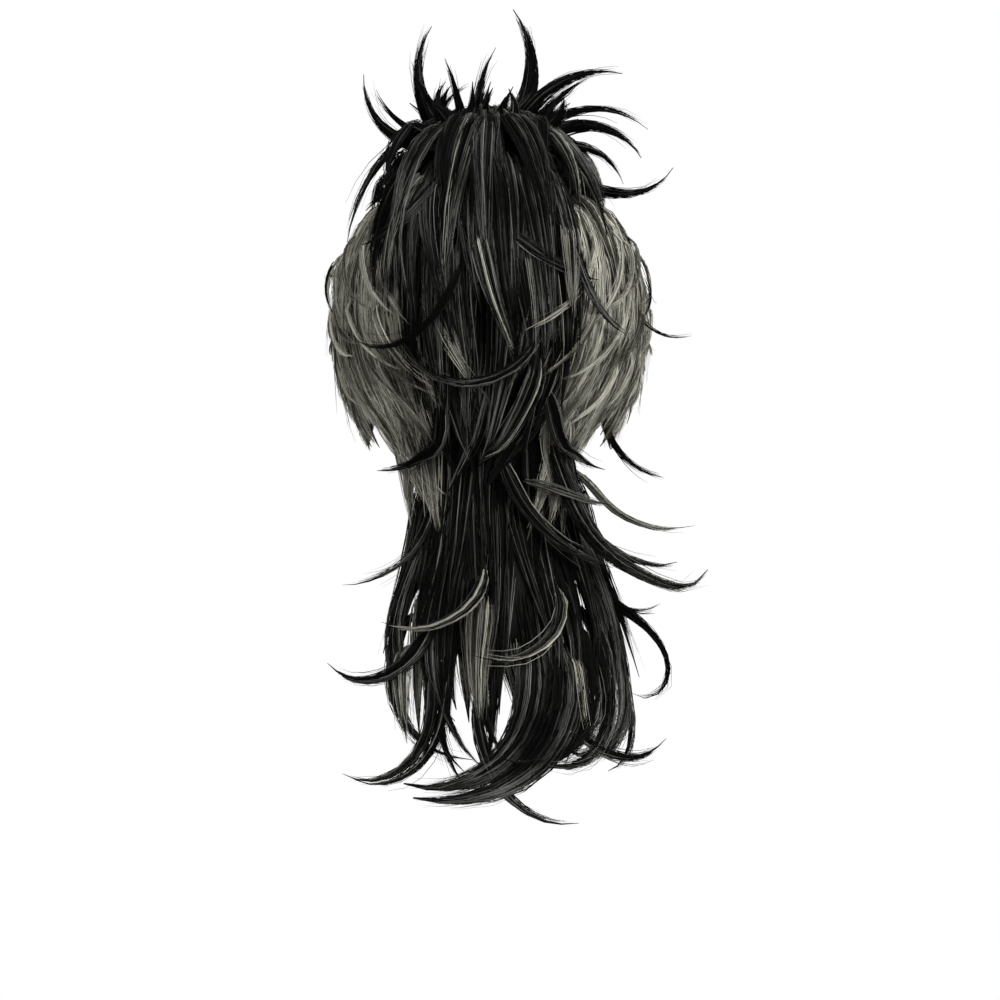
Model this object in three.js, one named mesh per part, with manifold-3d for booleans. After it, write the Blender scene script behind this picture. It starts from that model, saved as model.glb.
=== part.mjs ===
// A mullet wig: spiky black crown, silver-grey sides and a long layered black tail, on a net cap.
// Millimetres, +Z up. The wearer faces +Y, so the tail hangs on the -Y side. The origin is the highest
// point of the cap's inner surface, where the wig sits on the top of a head.
import * as THREE from 'three';
import { mergeVertices } from 'three/addons/utils/BufferGeometryUtils.js';
import Module from 'manifold-3d';

const wasm = await Module();
wasm.setup();

// Driving sizes
const HEAD_BREADTH = 156;
const HEAD_LENGTH = 194;
const HEAD_HEIGHT = 170;
const TAIL_LENGTH = 237;
const CAP_WALL = 1.6;
const PIECE_GAP = 0.4;
const HAIR_DEPTH = 28;
const LOCK_WIDTH = 20;
const LOCK_DEPTH = 8;
const SPIKE_LENGTH = 75;

// Colours: black hair, silver-grey hair, the lighter streaks and the dark net of the cap
const BLACK_HAIR = { color: 0x0d0e0e, roughness: 0.5, metalness: 0 };
const GREY_HAIR = { color: 0x85827a, roughness: 0.55, metalness: 0 };
const STREAK_HAIR = { color: 0x6f6e69, roughness: 0.55, metalness: 0 };
const CAP_NET = { color: 0x1b1a19, roughness: 0.9, metalness: 0 };

// The form that the hair lies on: the head down to the nape, then the way the tail falls. `down` counts
// shares of the head's height to 1, then shares of the tail's length. The others are shares of half the
// head's breadth and length.
const FORM = table(['down', 'wide', 'back', 'front'], [
  [0, 0, 0, 0],
  [0.02, 0.32, 0.34, 0.34],
  [0.09, 0.62, 0.65, 0.65],
  [0.21, 0.83, 0.86, 0.85],
  [0.37, 0.96, 0.97, 0.97],
  [0.53, 1, 1, 1],
  [0.69, 0.98, 0.96, 0.98],
  [0.85, 0.89, 0.84, 0.9],
  [1, 0.78, 0.69, 0.8],
  [1.12, 0.75, 0.64, 0.74],
  [1.3, 0.8, 0.7, 0.76],
  [1.5, 0.95, 0.84, 0.86],
  [1.75, 1.1, 0.96, 1],
  [2, 1.2, 1.05, 1.1],
]);

// The cap's rim, from the nape (0 degrees) past the ear (90) to the forehead (180)
const CAP_RIM = table(['at', 'down'], [
  [0, 0.97],
  [30, 0.94],
  [60, 0.77],
  [90, 0.62],
  [110, 0.66],
  [135, 0.55],
  [160, 0.4],
  [180, 0.35],
]);
const CAP_COLUMNS = 24;
const CAP_ROWS = 10;

function table(columns, rows) {
  return rows.map((row) => Object.fromEntries(columns.map((column, i) => [column, row[i]])));
}

// Curves through table rows
function hermite(before, from, to, after, share) {
  const slopeFrom = (to - before) / 2;
  const slopeTo = (after - from) / 2;
  const square = share * share;
  const cube = square * share;
  return (2 * cube - 3 * square + 1) * from + (cube - 2 * square + share) * slopeFrom
    + (3 * square - 2 * cube) * to + (cube - square) * slopeTo;
}

// The form's half sizes at row position `station`, a whole number at each row of FORM
function formAt(station) {
  const last = FORM.length - 1;
  const place = Math.min(Math.max(station, 0), last);
  const index = Math.min(Math.floor(place), last - 1);
  const share = place - index;
  const pick = (column) => {
    const mirror = column === 'down' ? 1 : -1;
    const before = index > 0 ? FORM[index - 1][column] : mirror * FORM[1][column];
    const beyond = 2 * FORM[last][column] - FORM[last - 1][column];
    const after = index < last - 1 ? FORM[index + 2][column] : beyond;
    return hermite(before, FORM[index][column], FORM[index + 1][column], after, share);
  };
  const down = pick('down');
  return {
    wide: pick('wide') * HEAD_BREADTH / 2,
    back: pick('back') * HEAD_LENGTH / 2,
    front: pick('front') * HEAD_LENGTH / 2,
    z: -Math.min(down, 1) * HEAD_HEIGHT - Math.max(down - 1, 0) * TAIL_LENGTH,
  };
}

function stationOf(down) {
  const last = FORM.length - 1;
  const index = Math.max(0, Math.min(last - 1, FORM.findIndex((row) => row.down > down) - 1));
  if (down >= FORM[last].down) return last;
  return index + (down - FORM[index].down) / (FORM[index + 1].down - FORM[index].down);
}

function onForm(station, angle) {
  const { wide, back, front, z } = formAt(station);
  const depth = Math.cos(angle) > 0 ? back : front;
  return new THREE.Vector3(wide * Math.sin(angle), -depth * Math.cos(angle), z);
}

const STEP = 0.01;

function alongForm(station, angle) {
  const lower = onForm(station + STEP, angle);
  return lower.sub(onForm(station - STEP, angle)).divideScalar(2 * STEP);
}

function aroundForm(station, angle) {
  const next = onForm(station, angle + STEP);
  return next.sub(onForm(station, angle - STEP)).divideScalar(2 * STEP);
}

function offForm(station, angle) {
  const place = Math.min(Math.max(station, 2 * STEP), FORM.length - 1 - STEP);
  return alongForm(place, angle).cross(aroundForm(place, angle)).normalize();
}

function pointOff(station, angle, off) {
  return onForm(station, angle).addScaledVector(offForm(station, angle), off);
}

// Closed solids from rings of points
function solidOf(points, faces) {
  const geometry = new THREE.BufferGeometry();
  geometry.setAttribute('position', new THREE.Float32BufferAttribute(points.flatMap((p) => p.toArray()), 3));
  geometry.setIndex(faces.flat());
  const merged = mergeVertices(geometry, 1e-4);
  const triVerts = Uint32Array.from(merged.index.array);
  const vertProperties = Float32Array.from(merged.attributes.position.array);
  return new wasm.Manifold(new wasm.Mesh({ numProp: 3, vertProperties, triVerts }));
}

// A loft through rings that all have the same number of points, closed by a fan at both ends
function loft(rings) {
  const sides = rings[0].length;
  const faces = [];
  for (let ring = 0; ring < rings.length - 1; ring += 1) {
    for (let side = 0; side < sides; side += 1) {
      const a = ring * sides + side;
      const b = ring * sides + (side + 1) % sides;
      faces.push([a, b, b + sides], [a, b + sides, a + sides]);
    }
  }
  const end = (rings.length - 1) * sides;
  for (let side = 1; side < sides - 1; side += 1) {
    faces.push([0, side + 1, side], [end, end + side, end + side + 1]);
  }
  return solidOf(rings.flat(), faces);
}

// The cap's rim as a row position, by angle in radians
function rimAt(angle) {
  const turn = Math.abs(THREE.MathUtils.radToDeg(Math.atan2(Math.sin(angle), Math.cos(angle))));
  const index = Math.min(CAP_RIM.length - 2, CAP_RIM.filter((row) => row.at <= turn + STEP).length - 1);
  const here = CAP_RIM[index];
  const next = CAP_RIM[index + 1];
  const share = (turn - here.at) / (next.at - here.at);
  const eased = share * share * (3 - 2 * share);
  return stationOf(here.down + (next.down - here.down) * eased);
}

const columnAngle = (column) => column / CAP_COLUMNS * 2 * Math.PI;

// A dome wall over the crown, down to row `rows` of the cap, from `inner` to `outer` off the form. It is
// `peak` thicker at its middle, and its last ring is `edge` thick.
function dome(rows, inner, outer, edge, peak = 0) {
  const shell = (off, offAtEdge, rise) => {
    const points = [new THREE.Vector3(0, 0, off + rise)];
    for (let row = 1; row <= rows; row += 1) {
      const swell = rise * (1 - row / rows) ** 2;
      for (let column = 0; column < CAP_COLUMNS; column += 1) {
        const angle = columnAngle(column);
        const level = rimAt(angle) * row / CAP_ROWS;
        points.push(pointOff(level, angle, row === rows ? offAtEdge : off + swell));
      }
    }
    return points;
  };
  const outside = shell(outer, inner + edge, peak);
  const inside = shell(inner, inner, 0);
  const at = (row, column) => 1 + (row - 1) * CAP_COLUMNS + column % CAP_COLUMNS;
  const skin = [];
  for (let column = 0; column < CAP_COLUMNS; column += 1) {
    skin.push([0, at(1, column), at(1, column + 1)]);
    for (let row = 1; row < rows; row += 1) {
      skin.push([at(row, column), at(row + 1, column), at(row + 1, column + 1)]);
      skin.push([at(row, column), at(row + 1, column + 1), at(row, column + 1)]);
    }
  }
  const count = outside.length;
  const lining = skin.map(([a, b, c]) => [a + count, c + count, b + count]);
  const rim = [];
  for (let column = 0; column < CAP_COLUMNS; column += 1) {
    const a = at(rows, column);
    const b = at(rows, column + 1);
    rim.push([a, a + count, b], [b, a + count, b + count]);
  }
  return solidOf([...outside, ...inside], [...skin, ...lining, ...rim]);
}

// The room that a head and neck take, which stays free of hair
function headRoom() {
  const rings = [];
  for (let station = 0.25; station <= FORM.length - 1; station += 0.75) {
    const ring = [];
    for (let column = 0; column < CAP_COLUMNS; column += 1) {
      ring.push(pointOff(station, columnAngle(column), 0));
    }
    rings.push(ring);
  }
  return loft(rings);
}

// A panel of hair over the cap. Its columns and rows are the cap's own, so that it follows the cap closely,
// and past the rim it hangs on for `below` rows down to `hem`. Its inner face stands `under` of the hair's
// depth off its seat, and `hang` more for each length that it falls past the rim. It is `depth` thick,
// thinned at the edges.
const PANEL_COLUMNS = ['name', 'left', 'right', 'top', 'bottom', 'below', 'hem', 'under', 'hang', 'depth'];
const EDGE_THICKNESS = 0.35;
const HEM_THINNING = 0.4;

function panel(spec, grow) {
  const rows = [];
  for (let row = spec.top; row <= spec.bottom; row += 1) rows.push({ rim: row / CAP_ROWS, past: 0 });
  for (let row = 1; row <= spec.below; row += 1) rows.push({ rim: 1, past: row / spec.below });
  const outer = [];
  const inner = [];
  const seat = CAP_WALL + PIECE_GAP + spec.under * HAIR_DEPTH - grow;
  const columns = spec.right - spec.left;
  const last = rows.length - 1;
  const hem = stationOf(spec.hem);
  rows.forEach(({ rim, past }, row) => {
    for (let column = spec.left; column <= spec.right; column += 1) {
      const outward = Number(column === spec.right) - Number(column === spec.left);
      const downward = Number(row === last) - Number(row === 0);
      const flat = columnAngle(column);
      const level = rimAt(flat) * rim + (hem - rimAt(flat)) * past;
      const angle = flat + outward * grow / aroundForm(level, flat).length();
      const station = level + downward * grow / alongForm(level, flat).length();
      const thinned = outward || downward ? EDGE_THICKNESS : 1;
      const fall = Math.max(0, formAt(rimAt(flat)).z - formAt(level).z);
      const off = seat + fall * spec.hang;
      const thick = spec.depth * HAIR_DEPTH * thinned * (1 - past * HEM_THINNING);
      inner.push(pointOff(station, angle, off));
      outer.push(pointOff(station, angle, off + thick + 2 * grow));
    }
  });
  const wide = columns + 1;
  const face = (flip, start) => {
    const faces = [];
    for (let row = 0; row < rows.length - 1; row += 1) {
      for (let column = 0; column < columns; column += 1) {
        const a = start + row * wide + column;
        faces.push([a, a + wide, a + wide + 1], [a, a + wide + 1, a + 1]);
      }
    }
    return flip ? faces.map(([a, b, c]) => [a, c, b]) : faces;
  };
  const border = [];
  for (let column = 0; column < columns; column += 1) border.push(column);
  for (let row = 0; row < rows.length - 1; row += 1) border.push(row * wide + columns);
  for (let column = columns; column > 0; column -= 1) border.push((rows.length - 1) * wide + column);
  for (let row = rows.length - 1; row > 0; row -= 1) border.push(row * wide);
  const count = outer.length;
  const wall = border.flatMap((a, i) => {
    const b = border[(i + 1) % border.length];
    return [[a, b, b + count], [a, b + count, a + count]];
  });
  return solidOf([...outer, ...inner], [...face(false, 0), ...face(true, count), ...wall]);
}

// A lock's width along its length: it swells from the root and thins to the tip
const TIP_SHARE = 0.05;

function taper(share) {
  const swell = 0.7 + 0.3 * Math.sin(Math.min(share / 0.3, 1) * Math.PI / 2);
  return Math.max(TIP_SHARE, swell * (1 - share ** 2.2));
}

// Sections at one point of a spine: a lock's, flat below, and a spike's. `side` runs across and `out` up.
const LOCK_SECTION = [[-1, -0.3], [1, -0.3], [0, 1]];
const SPIKE_SECTION = [[-1, 0], [0, -1], [1, 0], [0, 1]];

function sectionAt(shape, centre, side, out, halfWidth, halfDepth) {
  return shape.map(([across, up]) => centre.clone()
    .addScaledVector(side, across * halfWidth)
    .addScaledVector(out, up * halfDepth));
}

// A lock that lies on the hair. It starts at angle `at` and height `from`, heads `lean` degrees off the
// way straight down, towards the wearer's right, and turns by `bend` degrees along its length, the
// later the higher `late` is. `lift` is how far it stands off the form and `flick` how far its tip
// leaves it, in hair depths, and `wide` is its width in lock widths.
const LOCK_COLUMNS = ['at', 'from', 'length', 'lean', 'bend', 'late', 'lift', 'flick', 'wide'];
const LOCK_STEPS = 6;
const WALK_STEPS = 48;

function lockSpine(lock, unit) {
  const length = lock.length * unit;
  let angle = THREE.MathUtils.degToRad(lock.at);
  let station = stationOf(lock.from);
  const spine = [];
  for (let walk = 0; walk <= WALK_STEPS; walk += 1) {
    const share = walk / WALK_STEPS;
    const along = alongForm(station, angle);
    const around = aroundForm(station, angle);
    const heading = THREE.MathUtils.degToRad(lock.lean + lock.bend * share ** lock.late);
    if (walk % (WALK_STEPS / LOCK_STEPS) === 0) {
      const off = (lock.lift + lock.flick * share ** 3) * HAIR_DEPTH;
      spine.push({ point: pointOff(station, angle, off), out: offForm(station, angle), share });
    }
    station += length / WALK_STEPS * Math.cos(heading) / along.length();
    angle += length / WALK_STEPS * Math.sin(heading) / around.length();
    station = Math.min(station, FORM.length - 1 - STEP);
  }
  return spine;
}

function loftSpine(shape, spine, width, depth, grow) {
  const rings = spine.map(({ point, out, share }, i) => {
    const before = spine[Math.max(i - 1, 0)].point;
    const after = spine[Math.min(i + 1, spine.length - 1)].point;
    const ahead = after.clone().sub(before).normalize();
    const side = out.clone().cross(ahead).normalize();
    const up = ahead.clone().cross(side).normalize();
    const end = i === 0 ? -grow : (i === spine.length - 1 ? grow : 0);
    const centre = point.clone().addScaledVector(ahead, end);
    const halfWidth = width / 2 * taper(share) + 2 * grow;
    const halfDepth = depth / 2 * taper(share) ** 0.7 + 2 * grow;
    return sectionAt(shape, centre, side, up, halfWidth, halfDepth);
  });
  return loft(rings);
}

function lock(spec, grow, unit) {
  const depth = LOCK_DEPTH * Math.min(1, spec.wide + 0.25);
  return loftSpine(LOCK_SECTION, lockSpine(spec, unit), spec.wide * LOCK_WIDTH, depth, grow);
}

// A spike of the crown, free of the head. Its root stands `across` half breadths to the right and `behind`
// half lengths back, `rise` spike lengths up. It leaves `lean` degrees off straight up, towards the
// right, turns by `turn` degrees, and its plane tilts `tilt` degrees back.
const SPIKE_ROUNDNESS = 0.8;
const SPIKE_COLUMNS = ['across', 'behind', 'rise', 'length', 'lean', 'turn', 'late', 'tilt', 'wide'];

function spike(spec, grow) {
  const tilt = THREE.MathUtils.degToRad(spec.tilt);
  const point = new THREE.Vector3(
    spec.across * HEAD_BREADTH / 2,
    -spec.behind * HEAD_LENGTH / 2,
    spec.rise * SPIKE_LENGTH,
  );
  const out = new THREE.Vector3(0, -Math.cos(tilt), -Math.sin(tilt));
  const spine = [];
  const stride = spec.length * SPIKE_LENGTH / LOCK_STEPS;
  for (let i = 0; i <= LOCK_STEPS; i += 1) {
    const share = i / LOCK_STEPS;
    spine.push({ point: point.clone(), out, share });
    const heading = THREE.MathUtils.degToRad(spec.lean + spec.turn * (share + 0.5 / LOCK_STEPS) ** spec.late);
    const up = Math.cos(heading);
    const ahead = new THREE.Vector3(Math.sin(heading), -up * Math.sin(tilt), up * Math.cos(tilt));
    point.addScaledVector(ahead, stride);
  }
  const width = spec.wide * LOCK_WIDTH;
  return loftSpine(SPIKE_SECTION, spine, width, width * SPIKE_ROUNDNESS, grow);
}

// Nodes, from the cap outwards. Each is cut clear of all that was placed before it.
const wig = new THREE.Group();
const placed = [];

function fuse(solids) {
  return wasm.Manifold.union(solids);
}

// The largest body of a solid: what a neighbour cuts off it is left out
function mainBody(solid) {
  const bodies = solid.decompose();
  return bodies.reduce((best, body) => (body.volume() > best.volume() ? body : best));
}

const FINEST_EDGE = 0.12;

function addNode(name, material, solid, grown) {
  const clear = placed.length ? solid.subtract(fuse(placed)) : solid;
  const body = mainBody(clear.simplify(FINEST_EDGE));
  const { vertProperties, triVerts, numProp } = body.getMesh();
  const geometry = new THREE.BufferGeometry();
  const position = new Float32Array(vertProperties.length / numProp * 3);
  for (let i = 0; i < position.length; i += 1) {
    position[i] = vertProperties[Math.floor(i / 3) * numProp + i % 3];
  }
  geometry.setAttribute('position', new THREE.BufferAttribute(position, 3));
  geometry.setIndex(Array.from(triVerts));
  geometry.computeVertexNormals();
  const mesh = new THREE.Mesh(geometry, new THREE.MeshStandardMaterial(material));
  mesh.name = name;
  wig.add(mesh);
  placed.push(grown);
}

// A node of panels and locks fused into one body. The locks' lengths are shares of `unit`.
function addHair(name, material, { panels = [], locks = [], unit = HEAD_HEIGHT }) {
  const build = (grow) => fuse([
    ...panels.map((spec) => panel(spec, grow)),
    ...locks.map((spec) => lock(spec, grow, unit)),
  ]);
  addNode(name, material, build(0), build(PIECE_GAP));
}

// The crown pad, and the panels of hair behind the locks
const CROWN_ROWS = 5;
const CROWN_DEPTH = 0.95;
const CROWN_PEAK = 0.4;

const PANELS = table(PANEL_COLUMNS, [
  ['side_left', -8, -2, 3, 10, 2, 0.96, 0, 0.18, 0.62],
  ['side_right', 2, 8, 3, 10, 2, 0.96, 0, 0.18, 0.62],
  ['fringe', 8, 16, 3, 10, 2, 0.56, 0, 0.08, 0.55],
  ['back', -2, 2, 3, 10, 0, 1, 0, 0, 0.5],
  ['tail', -2, 3, 9, 10, 4, 1.45, 0.02, 0.02, 0.6],
  ['mid', -2, 2, 5, 8, 0, 1, 0.5, 0, 0.2],
  ['upper', -2, 2, 3, 6, 0, 1, 0.52, 0, 0.32],
]);

const SIDE_LOCKS = table(LOCK_COLUMNS, [
  [46, 0.24, 0.5, 8, 12, 1, 0.72, 0.1, 1.5],
  [72, 0.26, 0.52, 0, -15, 1, 0.74, 0.1, 1.6],
  [98, 0.27, 0.5, 0, -10, 1, 0.72, 0.1, 1.6],
  [46, 0.5, 0.45, 5, 25, 1.5, 0.74, 0.1, 1.4],
  [68, 0.48, 0.52, 0, -20, 1.5, 0.78, 0.1, 1.5],
  [90, 0.5, 0.5, 5, -25, 1.5, 0.78, 0.15, 1.4],
  [110, 0.5, 0.46, -5, -20, 1.5, 0.72, 0.1, 1.2],
  [40, 0.78, 0.52, 0, -12, 1.5, 0.66, 0, 1.2],
  [60, 0.74, 0.36, -6, -30, 1.5, 0.72, 0, 1.2],
  [104, 0.76, 0.34, -6, 20, 1.5, 0.62, 0, 0.9],
  [114, 0.72, 0.36, -10, 10, 1, 0.6, 0, 0.9],
]);
const FRINGE_LOCKS = table(LOCK_COLUMNS, [
  [135, 0.25, 0.46, 8, -20, 1, 0.52, 0.1, 1.4],
  [154, 0.22, 0.46, 10, -25, 1, 0.55, 0.1, 1.4],
  [172, 0.2, 0.46, 12, -25, 1, 0.56, 0.1, 1.4],
  [190, 0.2, 0.46, 12, -20, 1, 0.56, 0.1, 1.4],
  [208, 0.22, 0.46, 10, -15, 1, 0.55, 0.1, 1.4],
  [226, 0.25, 0.46, 5, -10, 1, 0.52, 0.1, 1.4],
]);
const TAIL_LOCKS = table(LOCK_COLUMNS, [
  [-34, 1.28, 0.54, -10, 44, 2, 0.5, 0, 1.4],
  [-13, 1.3, 0.52, -4, 14, 2, 0.56, 0, 1.6],
  [4, 1.3, 0.58, 0, 8, 2, 0.58, 0, 1.6],
  [20, 1.3, 0.56, 2, -8, 2, 0.58, 0, 1.6],
  [38, 1.28, 0.54, 8, -36, 2, 0.52, 0, 1.5],
  [52, 1.25, 0.5, 12, -44, 2, 0.46, 0, 1.2],
  [-24, 1.3, 0.5, -14, -136, 3, 0.6, 0.5, 0.8],
  [-34, 1.34, 0.6, -14, 96, 1.8, 0.46, 0.2, 1],
  [-18, 1.5, 0.46, 0, -120, 1.9, 0.6, 0.6, 0.9],
  [22, 1.54, 0.54, -6, -104, 1.7, 0.6, 0.5, 1.4],
  [6, 1.6, 0.44, 0, 84, 3, 0.56, 0.5, 0.7],
  [52, 1.34, 0.66, 8, -150, 2, 0.5, 0.4, 1.3],
  [54, 1.24, 0.5, 32, -160, 3, 0.56, 1.7, 0.8],
  [34, 1.5, 0.5, 8, 112, 2, 0.6, 0.6, 0.8],
]);
const STREAK_LOCKS = table(LOCK_COLUMNS, [
  [-2, 1.4, 0.38, -6, 10, 1, 0.74, 0, 1.1],
  [36, 1.5, 0.24, 0, 10, 1, 0.76, 0, 0.8],
  [-34, 1.5, 0.26, 0, 10, 1, 0.74, 0, 0.7],
]);
const MID_LOCKS = table(LOCK_COLUMNS, [
  [-26, 0.48, 0.7, 0, 14, 1, 0.64, 0, 1.4],
  [-8, 0.48, 0.8, 0, 6, 1, 0.66, 0, 1.6],
  [12, 0.48, 0.8, 4, -6, 1, 0.66, 0, 1.6],
  [28, 0.5, 0.7, 4, 6, 1, 0.64, 0, 1.5],
  [-18, 0.72, 0.46, -10, -72, 2, 0.76, 0.2, 0.8],
  [22, 0.72, 0.42, 14, 56, 2, 0.76, 0.2, 0.8],
  [36, 0.84, 0.76, 4, 102, 3.4, 0.66, 1.3, 1],
  [28, 0.88, 0.92, 12, 116, 3.4, 0.74, 1.9, 1.2],
]);
const UPPER_LOCKS = table(LOCK_COLUMNS, [
  [-34, 0.22, 0.4, -24, 24, 0.6, 0.8, 0, 1.2],
  [-14, 0.22, 0.38, -12, -70, 1.4, 0.92, 0, 0.9],
  [0, 0.22, 0.58, 2, 6, 1, 0.8, 0, 1.5],
  [18, 0.22, 0.6, 4, 8, 1, 0.8, 0, 1.5],
  [-18, 0.22, 0.5, 0, 8, 1, 0.78, 0, 1.4],
  [34, 0.16, 0.6, 4, 60, 3, 0.88, 0.1, 1],
  [8, 0.32, 0.34, 28, 55, 1, 0.95, 0, 0.8],
  [-8, 0.38, 0.58, -12, -100, 1.5, 0.9, 0.1, 0.9],
  [20, 0.54, 0.64, -28, -152, 1.5, 0.86, 0.1, 0.8],
]);
const GREY_STREAKS = table(LOCK_COLUMNS, [
  [-30, 0.06, 0.34, -8, 4, 1, 1.03, 0, 0.6],
  [-32, 0.16, 0.4, -26, 30, 1, 0.98, 0, 0.6],
  [-5, 0.06, 0.6, -5, -5, 1, 1.05, -0.1, 0.7],
  [40, 0.06, 0.3, 0, -10, 1, 1.02, 0, 0.6],
  [-4, 0.29, 0.42, 8, 12, 1, 0.94, 0, 0.6],
  [18, 0.66, 0.46, -8, -25, 1, 0.82, 0, 0.6],
]);
const TAIL_GREYS = table(LOCK_COLUMNS, [
  [-26, 1.08, 0.44, 0, -86, 1.6, 0.52, 0.6, 0.6],
  [16, 1.1, 0.22, 55, 30, 1, 1.05, 0.1, 0.5],
  [44, 1.06, 0.38, 30, 60, 1.3, 0.76, 2, 0.45],
  [6, 1.02, 0.42, 8, 52, 1.3, 0.72, 0.5, 0.7],
  [-2, 1.36, 0.25, -14, -88, 1, 0.84, 0.4, 0.5],
  [30, 1.38, 0.28, 0, -106, 1.2, 0.68, 0.3, 0.5],
]);
const SPIKES = table(SPIKE_COLUMNS, [
  [-0.3, 0.1, 0.24, 1.05, -96, 96, 1, 0, 0.7],
  [-0.25, -0.1, 0.28, 0.9, -84, 60, 1, -12, 0.5],
  [-0.3, 0.05, 0.28, 1.1, -36, 56, 1.3, 0, 0.9],
  [-0.12, 0.25, 0.28, 0.85, -60, 46, 1, 14, 0.5],
  [-0.3, -0.15, 0.28, 0.7, -15, 60, 1, -12, 0.35],
  [-0.2, 0.15, 0.3, 0.75, -4, -18, 1, 8, 0.5],
  [-0.05, 0.05, 0.32, 0.9, -10, 34, 1, 0, 0.6],
  [0.05, 0.25, 0.28, 0.8, 28, 10, 1, 12, 0.4],
  [0.1, 0, 0.3, 1.2, 30, -60, 1.4, 0, 1],
  [0.2, 0.1, 0.28, 1.25, 32, 60, 1.5, 0, 0.85],
  [0.3, -0.1, 0.26, 0.95, 35, 85, 1.2, -12, 0.5],
  [0.4, 0.1, 0.22, 1.1, 46, 95, 1, 4, 0.9],
  [0.42, 0.28, 0.1, 0.85, 60, 100, 1, 10, 0.5],
  [0.5, 0.2, 0.02, 1.2, 116, -92, 2, 10, 0.75],
  [0.6, 0, -0.1, 0.85, 126, 26, 1, 0, 0.5],
  [-0.48, 0.15, 0.06, 0.8, -112, -24, 1, 4, 0.9],
  [0, -0.28, 0.22, 0.85, -14, 30, 1, -35, 0.9],
  [0.22, -0.3, 0.2, 0.85, 24, 20, 1, -42, 0.8],
  [-0.22, -0.3, 0.2, 0.85, -24, -20, 1, -42, 0.8],
  [0.05, -0.5, 0.1, 0.75, 8, 20, 1, -62, 1],
  [-0.2, -0.55, 0.06, 0.75, -18, -20, 1, -70, 0.9],
  [0.3, -0.52, 0.04, 0.75, 24, 30, 1, -66, 0.9],
]);

function panelNamed(name) {
  return PANELS.filter((spec) => spec.name === name);
}

// The same locks on the wearer's left
function mirrored(locks) {
  return locks.map((spec) => ({ ...spec, at: -spec.at, lean: -spec.lean, bend: -spec.bend }));
}

// The crown's pad with its spikes
function crown(grow) {
  const seat = CAP_WALL + PIECE_GAP - grow;
  return fuse([
    dome(CROWN_ROWS, seat, CROWN_DEPTH * HAIR_DEPTH + grow, LOCK_DEPTH + 2 * grow, CROWN_PEAK * HAIR_DEPTH),
    ...SPIKES.map((spec) => spike(spec, grow)),
  ]);
}

const NEARLY = 0.9;
const capGrown = dome(CAP_ROWS, -CAP_WALL, CAP_WALL + NEARLY * PIECE_GAP, 2 * CAP_WALL + NEARLY * PIECE_GAP);
addNode('wig_cap', CAP_NET, dome(CAP_ROWS, 0, CAP_WALL, CAP_WALL), capGrown);
placed.push(headRoom());

addHair('side_left', GREY_HAIR, { panels: panelNamed('side_left'), locks: mirrored(SIDE_LOCKS) });
addHair('side_right', GREY_HAIR, { panels: panelNamed('side_right'), locks: SIDE_LOCKS });
addHair('fringe', BLACK_HAIR, { panels: panelNamed('fringe'), locks: FRINGE_LOCKS });
addHair('back_panel', BLACK_HAIR, { panels: panelNamed('back') });
addHair('tail', BLACK_HAIR, { panels: panelNamed('tail'), locks: TAIL_LOCKS, unit: TAIL_LENGTH });
addNode('crown_tuft', BLACK_HAIR, crown(0), crown(PIECE_GAP));
addHair('mid_back_locks', BLACK_HAIR, { panels: panelNamed('mid'), locks: MID_LOCKS });
addHair('upper_back_locks', BLACK_HAIR, { panels: panelNamed('upper'), locks: UPPER_LOCKS });
STREAK_LOCKS.forEach((spec, i) => {
  addHair(`tail_streak_${i + 1}`, STREAK_HAIR, { locks: [spec], unit: TAIL_LENGTH });
});
GREY_STREAKS.forEach((spec, i) => addHair(`grey_streak_${i + 1}`, STREAK_HAIR, { locks: [spec] }));
TAIL_GREYS.forEach((spec, i) => {
  addHair(`tail_grey_${i + 1}`, STREAK_HAIR, { locks: [spec], unit: TAIL_LENGTH });
});

export default wig;
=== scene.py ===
import math
import random
from collections import namedtuple

import bpy
import numpy as np
from bpy.props import FloatProperty, FloatVectorProperty, IntProperty, PointerProperty
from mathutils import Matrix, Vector


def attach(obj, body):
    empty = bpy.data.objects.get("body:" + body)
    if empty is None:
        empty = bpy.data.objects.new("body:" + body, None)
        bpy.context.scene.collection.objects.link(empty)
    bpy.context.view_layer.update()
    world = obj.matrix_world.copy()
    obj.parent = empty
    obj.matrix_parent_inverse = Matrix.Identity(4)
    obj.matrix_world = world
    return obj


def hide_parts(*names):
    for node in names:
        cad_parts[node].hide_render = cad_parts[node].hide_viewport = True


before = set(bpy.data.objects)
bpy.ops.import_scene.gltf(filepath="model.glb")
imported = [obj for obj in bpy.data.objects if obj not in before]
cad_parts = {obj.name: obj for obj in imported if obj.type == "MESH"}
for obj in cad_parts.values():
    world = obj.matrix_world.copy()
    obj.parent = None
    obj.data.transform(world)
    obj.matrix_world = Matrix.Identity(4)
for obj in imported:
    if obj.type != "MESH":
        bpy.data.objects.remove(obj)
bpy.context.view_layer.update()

bl_info = {
    "name": "Mullet wig",
    "version": (1, 0, 0),
    "blender": (4, 5, 0),
    "location": "3D View > Sidebar > Wig",
    "description": "Builds a mullet wig from locks of single strands around its packed frame",
    "category": "Add Mesh",
}

# Every size is in metres, in the frame's own axes: +Z up, the tail on the -Y side.


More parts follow.
